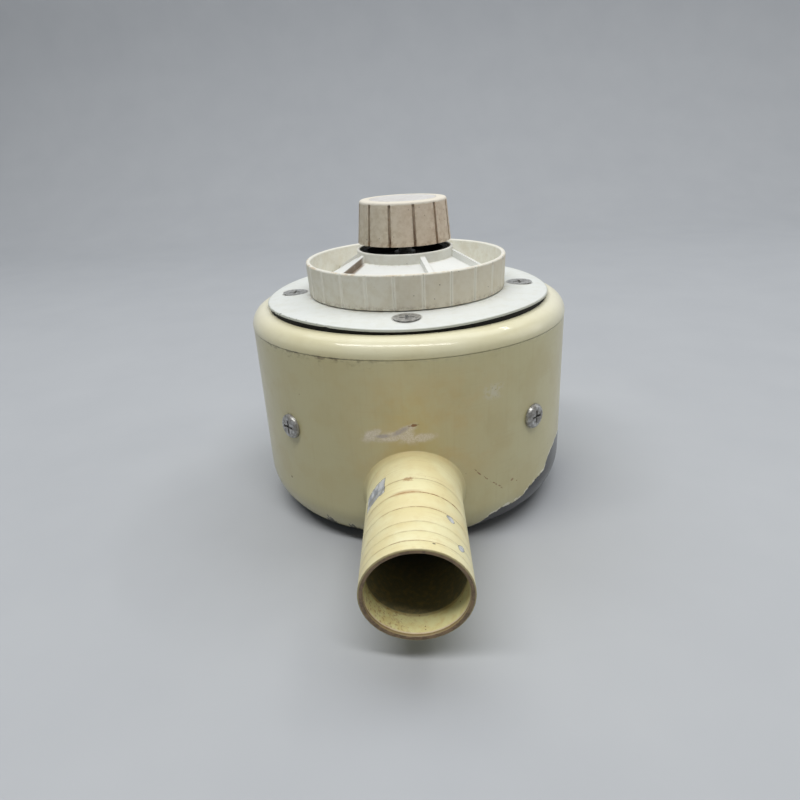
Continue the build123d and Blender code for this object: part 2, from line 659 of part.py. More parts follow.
# --------------------------------------------------------- poppet and its seal
with BuildPart() as poppet:
    with BuildSketch(Plane.XY.offset(POPPET_DISC_Z[0])):
        Circle(POPPET_R)
    extrude(amount=POPPET_DISC_Z[1] - POPPET_DISC_Z[0])
    with BuildSketch(Plane.XY.offset(POPPET_HUB_Z[0])):
        Circle(POPPET_HUB_R)
    extrude(amount=POPPET_HUB_Z[1] - POPPET_HUB_Z[0])
    with BuildSketch(Plane.XY.offset(POPPET_HUB_Z[0])):
        Circle(SPINDLE_R + RUNNING_PLAY)
    extrude(amount=POPPET_HUB_Z[1] - POPPET_HUB_Z[0], mode=Mode.SUBTRACT)
poppet.part.label = "poppet"
export_step(poppet.part, "parts/poppet.step")

with BuildPart() as poppet_seal:
    with BuildSketch(Plane.XY.offset(SEAL_Z[0])):
        Circle(SEAL_R[1])
        Circle(SEAL_R[0], mode=Mode.SUBTRACT)
    extrude(amount=SEAL_Z[1] - SEAL_Z[0])
poppet_seal.part.label = "poppet_seal"
export_step(poppet_seal.part, "parts/poppet_seal.step")

# --------------------------------------------------------- spindle and its clips
with BuildPart() as spindle:
    with BuildSketch(Plane.XZ):
        with BuildLine():
            Polyline(
                (0, SPINDLE_Z[0]),
                (SPINDLE_R, SPINDLE_Z[0]),
                (SPINDLE_R, STOP_CLIP_Z),
                (CLIP_GROOVE_R, STOP_CLIP_Z),
                (CLIP_GROOVE_R, STOP_CLIP_Z + CLIP_T),
                (SPINDLE_R, STOP_CLIP_Z + CLIP_T),
                (SPINDLE_R, POPPET_CLIP_Z),
                (CLIP_GROOVE_R, POPPET_CLIP_Z),
                (CLIP_GROOVE_R, POPPET_CLIP_Z + CLIP_T),
                (SPINDLE_R, POPPET_CLIP_Z + CLIP_T),
                (SPINDLE_R, SPINDLE_COLLAR_Z[0]),
                (SPINDLE_COLLAR_R, SPINDLE_COLLAR_Z[0]),
                (SPINDLE_COLLAR_R, SPINDLE_COLLAR_Z[1]),
                (SPINDLE_R, SPINDLE_COLLAR_Z[1]),
                (SPINDLE_R, SPINDLE_Z[1]),
                (KNOB_SCREW_HOLE_R, SPINDLE_Z[1]),
                (KNOB_SCREW_HOLE_R, KNOB_SCREW_HOLE_Z),
                (0, KNOB_SCREW_HOLE_Z),
                close=True,
            )
        make_face()
    revolve(axis=Axis.Z)
spindle.part.label = "spindle"
export_step(spindle.part, "parts/spindle.step")

with BuildPart() as poppet_clip:
    with BuildSketch(Plane.XY.offset(POPPET_CLIP_Z)):
        Circle(CLIP_R)
        Circle(CLIP_GROOVE_R + CLIP_PLAY, mode=Mode.SUBTRACT)
        with Locations((CLIP_R / 2, 0)):
            Rectangle(CLIP_R, CLIP_GAP, mode=Mode.SUBTRACT)
    extrude(amount=CLIP_T)
poppet_clip.part.label = "poppet_clip"
export_step(poppet_clip.part, "parts/poppet_clip.step")

with BuildPart() as stop_clip:
    with BuildSketch(Plane.XY.offset(STOP_CLIP_Z)):
        Circle(CLIP_R)
        Circle(CLIP_GROOVE_R + CLIP_PLAY, mode=Mode.SUBTRACT)
        with Locations((CLIP_R / 2, 0)):
            Rectangle(CLIP_R, CLIP_GAP, mode=Mode.SUBTRACT)
    extrude(amount=CLIP_T)
stop_clip.part.label = "stop_clip"
export_step(stop_clip.part, "parts/stop_clip.step")

# ----------------------------------------------------------------- control knob
with BuildPart() as control_knob:
    cap_floor_z = KNOB_Z[1] - CAP_T
    knob_taper = (KNOB_BOTTOM_R - KNOB_TOP_R) / (KNOB_Z[1] - KNOB_Z[0])
    with BuildSketch(Plane.XZ):
        with BuildLine():
            Polyline(
                (0, KNOB_CEILING_Z),
                (KNOB_TOP_R - KNOB_WALL, KNOB_CEILING_Z),
                (KNOB_BOTTOM_R - KNOB_WALL, KNOB_Z[0]),
                (KNOB_BOTTOM_R, KNOB_Z[0]),
                (KNOB_TOP_R, KNOB_Z[1]),
                (CAP_R + CAP_PLAY, KNOB_Z[1]),
                (CAP_R + CAP_PLAY, cap_floor_z),
                (0, cap_floor_z),
                close=True,
            )
        make_face()
    revolve(axis=Axis.Z)
    top_edge = control_knob.edges().group_by(Axis.Z)[-1].sort_by(SortBy.LENGTH)[-1]
    fillet(top_edge, KNOB_ROUND)
    with BuildSketch(Plane.XY.offset(KNOB_BOSS_Z)):
        Circle(KNOB_BOSS_R)
    extrude(amount=KNOB_CEILING_Z - KNOB_BOSS_Z)
    with BuildSketch(Plane.XY.offset(KNOB_BOSS_Z)):
        Circle(INSERT_R)
    extrude(amount=INSERT_Z[1] - KNOB_BOSS_Z, mode=Mode.SUBTRACT)
    with BuildSketch(Plane.XY.offset(INSERT_Z[1])):
        Circle(KNOB_SCREW_CLEAR_R)
    extrude(amount=KNOB_CEILING_Z - INSERT_Z[1], mode=Mode.SUBTRACT)
    with BuildSketch(Plane.XY.offset(KNOB_CEILING_Z)):
        Circle(KNOB_SCREW_SINK_R)
    extrude(amount=cap_floor_z - KNOB_CEILING_Z, mode=Mode.SUBTRACT)
    for groove in range(KNOB_GROOVES):
        groove_angle = KNOB_GROOVE_ANGLE + groove * 360 / KNOB_GROOVES
        top_r = KNOB_TOP_R + knob_taper * (KNOB_Z[1] - KNOB_GROOVE_TOP_Z) - KNOB_GROOVE_DEPTH
        with BuildSketch(section_plane(groove_angle)):
            with BuildLine():
                Polyline(
                    (KNOB_BOTTOM_R - KNOB_GROOVE_DEPTH, KNOB_Z[0]),
                    (KNOB_BOTTOM_R + CUT_MARGIN, KNOB_Z[0]),
                    (KNOB_BOTTOM_R + CUT_MARGIN, KNOB_GROOVE_TOP_Z),
                    (top_r, KNOB_GROOVE_TOP_Z),
                    close=True,
                )
            make_face()
        extrude(amount=KNOB_GROOVE_WIDTH / 2, both=True, mode=Mode.SUBTRACT)
control_knob.part.label = "control_knob"
export_step(control_knob.part, "parts/control_knob.step")

with BuildPart() as knob_insert:
    with BuildSketch(Plane.XY.offset(INSERT_Z[0])):
        Circle(INSERT_R)
        Circle(SPINDLE_R, mode=Mode.SUBTRACT)
    extrude(amount=INSERT_Z[1] - INSERT_Z[0])
knob_insert.part.label = "knob_insert"
export_step(knob_insert.part, "parts/knob_insert.step")

with BuildPart() as knob_screw:
    with BuildSketch(Plane.XY.offset(KNOB_SCREW_Z[0])):
        Circle(KNOB_SCREW_R)
    extrude(amount=KNOB_SCREW_Z[1] - KNOB_SCREW_Z[0])
    with BuildSketch(Plane.XY.offset(KNOB_SCREW_Z[1])):
        Circle(KNOB_SCREW_HEAD_R)
    extrude(amount=KNOB_SCREW_HEAD_H)
    with BuildSketch(Plane.XY.offset(KNOB_SCREW_Z[1] + KNOB_SCREW_HEAD_H)):
        Rectangle(2 * KNOB_SCREW_HEAD_R, KNOB_SCREW_SLOT_WIDTH)
    extrude(amount=-KNOB_SCREW_SLOT_DEPTH, mode=Mode.SUBTRACT)
knob_screw.part.label = "knob_screw"
export_step(knob_screw.part, "parts/knob_screw.step")

with BuildPart() as knob_cap:
    with BuildSketch(Plane.XY.offset(cap_floor_z)):
        Circle(CAP_R)
    extrude(amount=CAP_T)
knob_cap.part.label = "knob_cap"
export_step(knob_cap.part, "parts/knob_cap.step")
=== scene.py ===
import math

import bmesh
import bpy
from mathutils import Matrix, Vector, noise


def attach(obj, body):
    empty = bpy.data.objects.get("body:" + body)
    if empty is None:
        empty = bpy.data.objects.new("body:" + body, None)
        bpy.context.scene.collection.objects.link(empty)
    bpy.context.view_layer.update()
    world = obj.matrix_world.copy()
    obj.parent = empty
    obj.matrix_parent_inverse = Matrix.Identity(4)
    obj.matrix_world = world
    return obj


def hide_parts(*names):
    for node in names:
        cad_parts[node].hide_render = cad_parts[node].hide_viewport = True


# The looks of a cabin-air muffler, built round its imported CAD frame: metres, +Z up, inlet tube along -Y.
# Lengths named here are in millimetres, and angles in degrees where nothing else is said.

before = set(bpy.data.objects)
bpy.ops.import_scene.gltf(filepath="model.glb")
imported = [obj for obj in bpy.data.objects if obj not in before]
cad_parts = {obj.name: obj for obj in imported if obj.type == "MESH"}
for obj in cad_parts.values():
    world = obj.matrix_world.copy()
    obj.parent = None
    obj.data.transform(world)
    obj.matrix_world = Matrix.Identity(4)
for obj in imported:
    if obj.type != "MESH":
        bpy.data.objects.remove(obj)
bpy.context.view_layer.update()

MM = 0.001
CAN_R = 60.325
CAN_ARC = 1.05  # mm along the wall for a degree of azimuth
BASE_CORNER_R = 16.0
LID_TOP = 78.5

TUBE_R = 15.875
TUBE_BORE_R = 14.4
TUBE_NECK_R = 15.4
TUBE_SHOULDER = 62.35
TUBE_Z = 24.3
TUBE_MOUTH_Y = -112.3
TUBE_INNER_Y = -46.0
TUBE_STEPS = 224
RIM_ROUND = 0.45
RIM_WEAR = 2.5
MOUTH_SLANT = 1.5
SLANT_FROM = 100.0
SCORE_DEPTH = 0.11
SCORE_FLAT = 0.6
SCORE_BRINK = 1.6
BURR = 0.05
ROOT_SHADE = (9.0, 15.5)  # above the tube's axis

FLARE = 2.3
FLARE_END = 62.9
FLARE_UNEVEN = 0.10
FLARE_TOP_THINNER = 0.7
FLARE_UNDER = (TUBE_Z - TUBE_R - 0.6) / 1.6
FLARE_SUNK = 0.35
FLARE_STEPS = 160
FLARE_ROWS = 10

PLATE_TOP = 81.6
PLATE_T = 0.82
PLATE_R = 53.9
PLATE_FLAT_R = 41.0
PLATE_STEPS = 360
PLATE_EDGE_DROP = 0.84
PLATE_WAVE = 0.42
PLATE_BEVEL = 0.10
CHIP_AZIMUTH = math.radians(-48)
CHIP_COS = 0.86
CHIP_BITE = 2.9
CHIP_R = 52.6
PLATE_RADII = (
    16.4, 20, 26, 32, 36, 37.5, 38.6, 39.2, 39.6, 40.4, 41.6, 43, 44.4, 45.8, 47.2,
    48.4, 48.8, 49.4, 50.4, 51.4, 52.3, 53.0, 53.45, PLATE_R - 0.12, PLATE_R,
)
SCREW_CIRCLE = 44.0
SCREW_PULL = 0.22
SCREW_REACH = 6.2
SCREW_CONE_R = (3.33, 5.72)
GASKET_RADII = (31.0, 36.0, 40.0, 42.0, 44.0, 46.0, 48.0, 49.6, 51.0, 52.2, 53.0, 53.25)
GASKET_PLAY = 0.02
GASKET_RIPPLE = 0.12
GASKET_RIPPLE_R = 52.5
GASKET_HOLE_R = 4.1

RING_GROOVES = (9.0, 15.0)  # first and pitch, in degrees
KNOB_GROOVES = (13.0, 30.0)


def around(steps):
    """Evenly spaced (angle, sine, cosine) all the way round."""
    return [(a, math.sin(a), math.cos(a)) for a in (2 * math.pi * k / steps for k in range(steps))]


SCREW_SPOTS = [(SCREW_CIRCLE * sine, SCREW_CIRCLE * cosine) for _, sine, cosine in around(4)]


# ------------------------------------------------------------------ node graphs
def srgb(r, g, b):
    """A colour given in 0-255 display values, as linear RGBA."""
    def channel(v):
        v = v / 255
        return v / 12.92 if v <= 0.04045 else ((v + 0.055) / 1.055) ** 2.4

    return (channel(r), channel(g), channel(b), 1.0)


class Finish:
    """One material's node graph, worked in millimetres of the row frame."""

    def __init__(self, name, metallic=0.0, coat=0.0, coat_roughness=0.1, specular=0.5):
        self.material = bpy.data.materials.new(name)
        self.material.use_nodes = True
        self.tree = self.material.node_tree
        self.tree.nodes.clear()
        self.shader = self.node("BsdfPrincipled")
        output = self.node("OutputMaterial")
        self.tree.links.new(self.shader.outputs["BSDF"], output.inputs["Surface"])
        self.shader.inputs["Metallic"].default_value = metallic
        self.shader.inputs["Coat Weight"].default_value = coat
        self.shader.inputs["Coat Roughness"].default_value = coat_roughness
        self.shader.inputs["Specular IOR Level"].default_value = specular
        coords = self.node("TexCoord").outputs["Object"]
        scale = self.node("VectorMath")
        scale.operation = "SCALE"
        scale.inputs["Scale"].default_value = 1 / MM
        self.tree.links.new(coords, scale.inputs[0])
        self.mm = scale.outputs[0]
        self.x, self.y, self.z = self.split(self.mm)

    def node(self, kind):
        return self.tree.nodes.new("ShaderNode" + kind)

    def put(self, socket, value):
        if isinstance(value, bpy.types.NodeSocket):
            self.tree.links.new(value, socket)
        elif socket.type == "RGBA" and len(value) == 3:
            socket.default_value = (*value, 1.0)
        else:
            socket.default_value = value

    def split(self, vector):
        node = self.node("SeparateXYZ")
        self.put(node.inputs[0], vector)
        return node.outputs[0], node.outputs[1], node.outputs[2]

    def join(self, x, y, z):
        node = self.node("CombineXYZ")
        for socket, value in zip(node.inputs, (x, y, z)):
            self.put(socket, value)
        return node.outputs[0]

    def math(self, operation, a, b=0.0, clamp=False):
        node = self.node("Math")
        node.operation = operation
        node.use_clamp = clamp
        self.put(node.inputs[0], a)
        self.put(node.inputs[1], b)
        return node.outputs[0]

    def add(self, first, *rest):
        for value in rest:
            first = self.math("ADD", first, value)
        return first

    def times(self, first, *rest):
        for value in rest:
            first = self.math("MULTIPLY", first, value)
        return first

    def minus(self, a, b):
        return self.math("SUBTRACT", a, b)

    def largest(self, first, *rest):
        for value in rest:
            first = self.math("MAXIMUM", first, value)
        return first

    def inverse(self, a):
        return self.minus(1.0, a)

    def length(self, a, b):
        return self.math("SQRT", self.add(self.times(a, a), self.times(b, b)))

    def step(self, value, low, high):
        """0 at low, 1 at high, smooth between. high may be the smaller."""
        node = self.node("MapRange")
        node.interpolation_type = "SMOOTHSTEP"
        self.put(node.inputs["Value"], value)
        if isinstance(low, (int, float)) and isinstance(high, (int, float)) and low > high:
            node.inputs["From Min"].default_value = high
            node.inputs["From Max"].default_value = low
            node.inputs["To Min"].default_value = 1.0
            node.inputs["To Max"].default_value = 0.0
        else:
            self.put(node.inputs["From Min"], low)
            self.put(node.inputs["From Max"], high)
        return node.outputs["Result"]

    def near(self, value, centre, half, soft):
        """1 within half of centre, falling to 0 over soft."""
        away = self.math("ABSOLUTE", self.minus(value, centre))
        return self.step(away, half + soft, half)

    def stretched(self, sx, sy, sz, shift=(0, 0, 0), vector=None):
        node = self.node("Mapping")
        self.put(node.inputs["Vector"], self.mm if vector is None else vector)
        node.inputs["Scale"].default_value = (sx, sy, sz)
        node.inputs["Location"].default_value = shift
        return node.outputs[0]

    def noise(self, scale, detail=3.0, rough=0.55, vector=None, distortion=0.0):
        node = self.node("TexNoise")
        self.put(node.inputs["Vector"], self.mm if vector is None else vector)
        node.inputs["Scale"].default_value = scale
        node.inputs["Detail"].default_value = detail
        node.inputs["Roughness"].default_value = rough
        node.inputs["Distortion"].default_value = distortion
        return node.outputs["Fac"]

    def shifted(self, x, y, z):
        return self.stretched(1, 1, 1, shift=(x, y, z))

    def patches(self, low, high, scale, detail=4.0, rough=0.65, vector=None):
        """Patches: 1 where a noise is above high, 0 where it is below low."""
        return self.step(self.noise(scale, detail, rough, vector), low, high)

    def wobble(self, amount, scale, detail=3.0, rough=0.55, vector=None):
        """A noise about zero, amount from end to end."""
        return self.times(self.minus(self.noise(scale, detail, rough, vector), 0.5), amount)

    def specks(self, spacing, size, share, vector=None):
        """Spots about spacing mm apart, of radius size mm, in only that share of the cells."""
        node = self.node("TexVoronoi")
        self.put(node.inputs["Vector"], self.mm if vector is None else vector)
        node.inputs["Scale"].default_value = 1 / spacing
        node.inputs["Randomness"].default_value = 1.0
        lot = self.split(node.outputs["Color"])[0]
        spot = self.step(node.outputs["Distance"], size / spacing, 0.55 * size / spacing)
        return self.times(spot, self.math("LESS_THAN", lot, share))

    def turned(self, u, v, degrees):
        """The pair (u, v) measured along and across a line at this angle."""
        c, s = math.cos(math.radians(degrees)), math.sin(math.radians(degrees))
        along = self.add(self.times(u, c), self.times(v, s))
        across = self.add(self.times(u, -s), self.times(v, c))
        return along, across

    def oval(self, u, v, centre, halves, degrees):
        """1 at the centre of an ellipse in (u, v), 0 on its outline, negative outside."""
        du = self.minus(u, centre[0])
        dv = self.minus(v, centre[1])
        along, across = self.turned(du, dv, degrees)
        along = self.times(along, 1 / halves[0])
        across = self.times(across, 1 / halves[1])
        return self.inverse(self.length(along, across))

    def ovals(self, u, v, shapes):
        """The greatest of several ovals, each a centre, half lengths and a tilt."""
        return self.largest(*[self.oval(u, v, *shape) for shape in shapes])

    def curve(self, value, low, high, points, bottom, top):
        """A curve through (value, result) points, as a float curve node."""
        node = self.node("FloatCurve")
        span = self.node("MapRange")
        self.put(span.inputs["Value"], value)
        span.inputs["From Min"].default_value = low
        span.inputs["From Max"].default_value = high
        self.put(node.inputs["Value"], span.outputs["Result"])
        line = node.mapping.curves[0]
        scaled = [((p - low) / (high - low), (q - bottom) / (top - bottom)) for p, q in points]
        line.points[0].location = scaled[0]
        line.points[1].location = scaled[-1]
        for spot in scaled[1:-1]:
            line.points.new(*spot)
        for point in line.points:
            point.handle_type = "VECTOR"
        node.mapping.update()
        return self.add(self.times(node.outputs[0], top - bottom), bottom)

    def mixed(self, kind, factor, a, b):
        node = self.node("Mix")
        node.data_type = "RGBA" if kind == "RGBA" else "FLOAT"
        self.put(node.inputs["Factor"], factor)
        for name, value in (("A", a), ("B", b)):
            self.put([s for s in node.inputs if s.name == name and s.type == kind][0], value)
        return [s for s in node.outputs if s.type == kind][0]

    def mix(self, factor, a, b):
        """A colour between a and b."""
        return self.mixed("RGBA", factor, a, b)

    def over(self, base, colour, *shares):
        """A 0-255 display colour laid over the base, as strongly as the product of the shares."""
        return self.mix(self.times(*shares), base, srgb(*colour))

    def blend(self, factor, a, b):
        """A number between a and b."""
        return self.mixed("VALUE", factor, a, b)

    def polar(self):
        """Radius from the can's axis in mm, and azimuth in degrees from -Y towards +X."""
        angle = self.math("ARCTAN2", self.x, self.times(self.y, -1.0))
        return self.length(self.x, self.y), self.math("DEGREES", angle)

    def from_groove(self, azimuth, first, pitch):
        """Degrees from the nearest of a set of evenly spaced grooves."""
        turn = self.add(self.times(self.minus(azimuth, first), 1 / pitch), 100.5)
        middle = self.minus(self.math("FRACT", turn), 0.5)
        return self.times(self.math("ABSOLUTE", middle), pitch)

    def finish(self, colour, roughness, height=None, strength=1.0, metallic=None):
        """Connects colour, roughness and a height in millimetres."""
        self.put(self.shader.inputs["Base Color"], colour)
        self.put(self.shader.inputs["Roughness"], roughness)
        if metallic is not None:
            self.put(self.shader.inputs["Metallic"], metallic)
        if height is not None:
            bump = self.node("Bump")
            bump.inputs["Distance"].default_value = MM
            bump.inputs["Strength"].default_value = strength
            self.put(bump.inputs["Height"], height)
            self.put(self.shader.inputs["Normal"], bump.outputs[0])
        return self.material


# -------------------------------------------------------------------- materials
# Places on the can are (azimuth, height): degrees from the tube's side towards +X, and mm above the base.
# An oval is its centre, its half lengths and its tilt in degrees.
SEAM_Z = 72.1
BROWN_SPOTS = (((35.2, 21.9), (0.9, 0.6), 20.0), ((37.4, 20.6), (0.4, 0.35), 0.0))
SCRAPE_LOBES = (
    ((-12.6, 46.2), (3.6, 2.2), 25.0),
    ((-7.0, 45.9), (5.2, 2.1), 6.0),
    ((-2.2, 48.2), (4.4, 1.6), 30.0),
    ((-1.4, 45.6), (3.6, 2.9), -10.0),
    ((3.4, 45.4), (4.8, 1.8), 4.0),
)
SCRAPE_CORE = (((-3.4, 48.0), (4.4, 1.2), 30.0), ((-9.0, 46.2), (3.4, 1.0), 6.0))
SCRAPE_TIP = ((0.6, 50.0), (2.1, 0.6), 12.0)
BARE_CORNER_TOP = (
    (0, -2), (12, 1.0), (22, 5.0), (27, 9.8), (31.5, 11.6), (37.5, 11.6), (41.5, 12.8),
    (44.5, 15.0), (48, 16.4), (54, 17.0), (57, 20.8), (60, 22.6), (66, 24.8), (74, 24.6),
    (84, 19.0), (94, 12.5), (104, 6.0), (120, -2),
)
BROWN_DIRT = (92, 74, 52)


def wall_stains_and_painted_light(f, azimuth, mottle, base):
    """The wall has dulled more than the lid, and its duller paint blends up the lower shoulder as painted
    shade; painted shade darkens the wall's left and painted light brightens the shoulder's left and right;
    fine upright streaks, and a warm stain above the tube.
    """
    # The wall's own paint is duller than the lid's; its blend up the lower shoulder is painted shade.
    wall = f.step(f.z, 75.6, 70.8)
    base = f.over(base, (194, 186, 138), wall, 0.75)
    # Painted shade: the wall darker on its left.
    base = f.over(base, (160, 150, 112), f.near(azimuth, -55.0, 33.0, 22.0), wall, 0.24)
    # Painted light: the lid's shoulder lighter towards its left and right.
    lit_shoulder_sides = f.step(f.math("ABSOLUTE", azimuth), 35.0, 75.0)
    base = f.over(base, (246, 244, 230), f.inverse(wall), lit_shoulder_sides, 0.45)
    blotch = f.patches(0.46, 0.66, 0.07, 3.0, 0.55, vector=f.shifted(12, 4, 20))
    base = f.over(base, (182, 162, 104), blotch, wall, 0.20)
    streaks = f.noise(0.9, 3.0, 0.6, vector=f.join(f.times(azimuth, CAN_ARC), f.times(f.z, 0.035), 0.0))
    base = f.over(base, (176, 158, 118), f.step(streaks, 0.5, 0.72), wall, 0.10)
    rings = f.noise(0.9, 2.0, 0.6, vector=f.join(f.times(azimuth, 0.05), f.times(f.z, 1.6), 3.0))
    base = f.over(base, (170, 158, 126), f.step(rings, 0.56, 0.74), wall, 0.08)
    sector = f.near(f.add(azimuth, f.times(mottle, 10.0)), 11.0, 8.0, 26.0)
    patchy = f.blend(f.patches(0.36, 0.62, 0.10, 4.0, 0.6), 0.35, 1.0)
    base = f.over(base, (204, 172, 108), sector, f.near(f.z, 48.0, 8.0, 22.0), wall, patchy, 0.42)
    return base, streaks


def bright_root(f, mottle, base):
    """Fresher paint round the tube's root, in shade at the top."""
    up = f.minus(f.z, TUBE_Z)
    from_axis = f.add(f.length(f.x, up), f.times(mottle, 1.2))
    at_root = f.times(f.step(f.y, -59.4, -62.2), f.step(from_axis, 18.0, 16.2))
    return f.over(base, (232, 224, 176), at_root, f.blend(f.step(up, *ROOT_SHADE), 0.9, 0.50))


def seam_dirt(f, azimuth, base):
    """Dirt caught at the seam, most of it on the left."""
    grime = f.noise(0.32, 5.0, 0.7, vector=f.join(f.times(azimuth, CAN_ARC), f.times(f.z, 1.4), 9.0))
    amount = f.blend(f.near(azimuth, -35.0, 14.0, 18.0), 0.22, 1.0)
    seam = f.times(f.near(f.z, SEAM_Z, 0.25, 0.7), f.step(grime, 0.44, 0.64), amount)
    under_lip = f.times(f.near(f.z, SEAM_Z - 0.9, 0.5, 2.4), f.step(grime, 0.52, 0.70), amount)
    return f.over(base, BROWN_DIRT, f.largest(f.times(under_lip, 0.5), seam), 0.7)


def knocks(f, azimuth, mottle, base):
    """Specks all over, a bruise at the upper right and a rusty scratch at the lower right."""
    specks = f.largest(f.specks(5.5, 0.24, 0.22), f.specks(17.0, 0.55, 0.26, vector=f.shifted(31, 7, 12)))
    bruise = f.times(f.near(azimuth, 27.0, 1.4, 3.4), f.near(f.z, 58.0, 0.8, 2.8))
    base = f.over(base, BROWN_DIRT, specks, 0.75)
    base = f.over(base, (212, 206, 184), bruise, f.patches(0.42, 0.56, 0.5, 4.0, 0.7), 0.75)
    base = f.over(base, (96, 82, 58), bruise, f.specks(1.1, 0.20, 0.55), 0.8)
    slope = f.add(f.times(azimuth, -0.95), 51.0)
    scratch = f.near(f.add(f.z, f.times(mottle, 3.0)), slope, 0.14, 0.22)
    broken = f.patches(0.42, 0.55, 0.8, 3.0, 0.55)
    base = f.over(base, (132, 84, 50), scratch, f.near(azimuth, 25.5, 4.5, 1.5), broken, 0.85)
    spots = f.step(f.ovals(azimuth, f.z, BROWN_SPOTS), 0.0, 0.5)
    return f.over(base, (146, 100, 64), spots, 0.65), specks


def scraped_primer(f, radius, azimuth, base):
    """The scrape above the tube: pale primer with a violet-grey core and a burnt tip."""
    depth = f.add(f.ovals(azimuth, f.z, SCRAPE_LOBES), f.wobble(1.5, 0.30, 5.0, 0.62))
    front = f.times(f.math("LESS_THAN", f.y, 0.0), f.step(radius, 59.0, 59.8))
    base = f.over(base, (214, 203, 180), f.step(depth, -0.30, 0.40), front, 0.45)
    grit = f.patches(0.42, 0.56, 2.3, 4.0, 0.75)
    scrape = f.times(f.step(depth, 0.05, 0.50), front, f.blend(grit, 0.30, 1.0))
    base = f.over(base, (236, 226, 212), scrape, 0.80)
    core = f.step(f.ovals(azimuth, f.z, SCRAPE_CORE), 0.0, 0.7)
    base = f.over(base, (156, 144, 154), core, f.blend(grit, 0.55, 1.0), front, 0.65)
    tip = f.step(f.add(f.oval(azimuth, f.z, *SCRAPE_TIP), f.wobble(1.6, 0.8, 3.0, 0.6)), 0.1, 0.5)
    return f.over(base, (128, 74, 30), tip, front, 0.85), scrape


def bare_corner(f, radius, azimuth, base):
    """Paint lost from the base corner, with a torn, raised, pale edge."""
    edge = f.curve(azimuth, 0.0, 120.0, BARE_CORNER_TOP, -2.0, 30.0)
    depth = f.minus(f.add(edge, f.wobble(2.6, 0.5, 4.0, 0.7)), f.z)
    side = f.times(f.step(radius, 20.0, 40.0), f.math("GREATER_THAN", azimuth, 2.0))
    chips = f.patches(0.655, 0.675, 0.42, 4.0, 0.66, vector=f.shifted(50, 20, 9))
    chips = f.times(chips, f.step(f.z, 9.5, 6.5), f.step(radius, 44.0, 52.0))
    bare = f.largest(f.times(f.step(depth, 0.0, 0.22), side), chips)
    broken = f.patches(0.44, 0.58, 0.35, 3.0, 0.6, vector=f.shifted(8, 1, 30))
    lifted = f.times(f.near(depth, -0.45, 0.30, 0.40), side, broken)
    base = f.over(base, (236, 232, 216), lifted, 0.85)
    metal = f.mix(f.noise(0.3, 5.0, 0.7), srgb(36, 36, 37), srgb(62, 62, 64))
    drawn = f.patches(0.60, 0.76, 1.4, 3.0, 0.6, vector=f.stretched(0.25, 0.25, 3.0))
    return f.mix(bare, base, f.over(metal, (110, 110, 114), drawn)), bare, lifted


def black_residue_and_painted_shadow(f, radius, azimuth, base):
    """A thin black crust under the lower left edge, part residue and part painted contact shadow, with two
    tufts.
    """
    wrap = f.join(f.times(azimuth, CAN_ARC), f.times(f.z, 0.45), 2.0)
    tufts = f.noise(0.75, 4.0, 0.75, vector=wrap, distortion=0.8)
    tall = f.times(f.near(azimuth, -33.0, 0.6, 3.2), 4.6)
    short = f.times(f.near(azimuth, -23.5, 0.5, 2.6), 3.6)
    top = f.add(tall, short, 4.4, f.times(f.minus(tufts, 0.5), 11.0))
    spikes = f.times(f.step(f.minus(top, f.z), -0.3, 0.3), f.near(azimuth, -29.0, 9.0, 3.0))
    # The crust along the bottom edge is part residue and part painted contact shadow.
    crust = f.times(f.step(f.add(f.z, f.times(tufts, -3.0)), 4.4, 3.6), f.near(azimuth, -42.0, 24.0, 8.0))
    return f.over(base, (30, 30, 28), f.largest(spikes, crust), f.step(radius, 40.0, 48.0), 0.92)


def bare_inside(f, radius, base):
    """Unpainted metal inside the can and under the lid."""
    within_wall = f.times(f.step(radius, 59.7, 59.4), f.step(f.z, 15.0, 17.0), f.step(f.z, 72.3, 71.9))
    under_lid = f.times(f.step(radius, 54.0, 53.6), f.step(f.z, 60.0, 61.0), f.step(f.z, 77.8, 77.5))
    metal = f.mix(f.noise(0.4, 3.0), srgb(150, 150, 152), srgb(120, 120, 123))
    return f.mix(f.largest(within_wall, under_lid), base, metal)


def can_paint(name="can_enamel", coat=0.4, coat_roughness=0.08):
    """Cream enamel, stained, scuffed and chipped down to dark metal on one base corner, with painted shade
    and light on its wall and shoulder and a painted shadow along its lower left edge.
    """
    f = Finish(name, coat=coat, coat_roughness=coat_roughness, specular=0.45)
    radius, azimuth = f.polar()
    mottle = f.noise(0.22, 5.0, 0.62)
    colour = f.mix(f.patches(0.35, 0.68, 0.035, 4.0, 0.6), srgb(231, 226, 194), srgb(226, 219, 182))
    colour = f.over(colour, (212, 202, 166), f.step(mottle, 0.45, 0.75), 0.25)
    colour, streaks = wall_stains_and_painted_light(f, azimuth, mottle, colour)
    colour = bright_root(f, mottle, colour)
    colour = seam_dirt(f, azimuth, colour)
    colour, specks = knocks(f, azimuth, mottle, colour)
    colour, scrape = scraped_primer(f, radius, azimuth, colour)
    colour, bare, lifted = bare_corner(f, radius, azimuth, colour)
    colour = black_residue_and_painted_shadow(f, radius, azimuth, colour)
    colour = bare_inside(f, radius, colour)
    grain = f.noise(2.2, 2.0, 0.5)
    height = f.add(f.times(grain, 0.010), f.times(mottle, 0.05), f.times(streaks, 0.012))
    height = f.add(height, f.times(bare, -0.14), f.times(lifted, 0.05), f.times(scrape, 0.05))
    rough = f.add(0.30, f.times(mottle, 0.16))
    rough = f.blend(f.largest(scrape, specks), rough, 0.75)
    rough = f.blend(bare, rough, 0.30)
    return f.finish(colour, rough, height, 0.9, metallic=f.times(bare, 0.55))


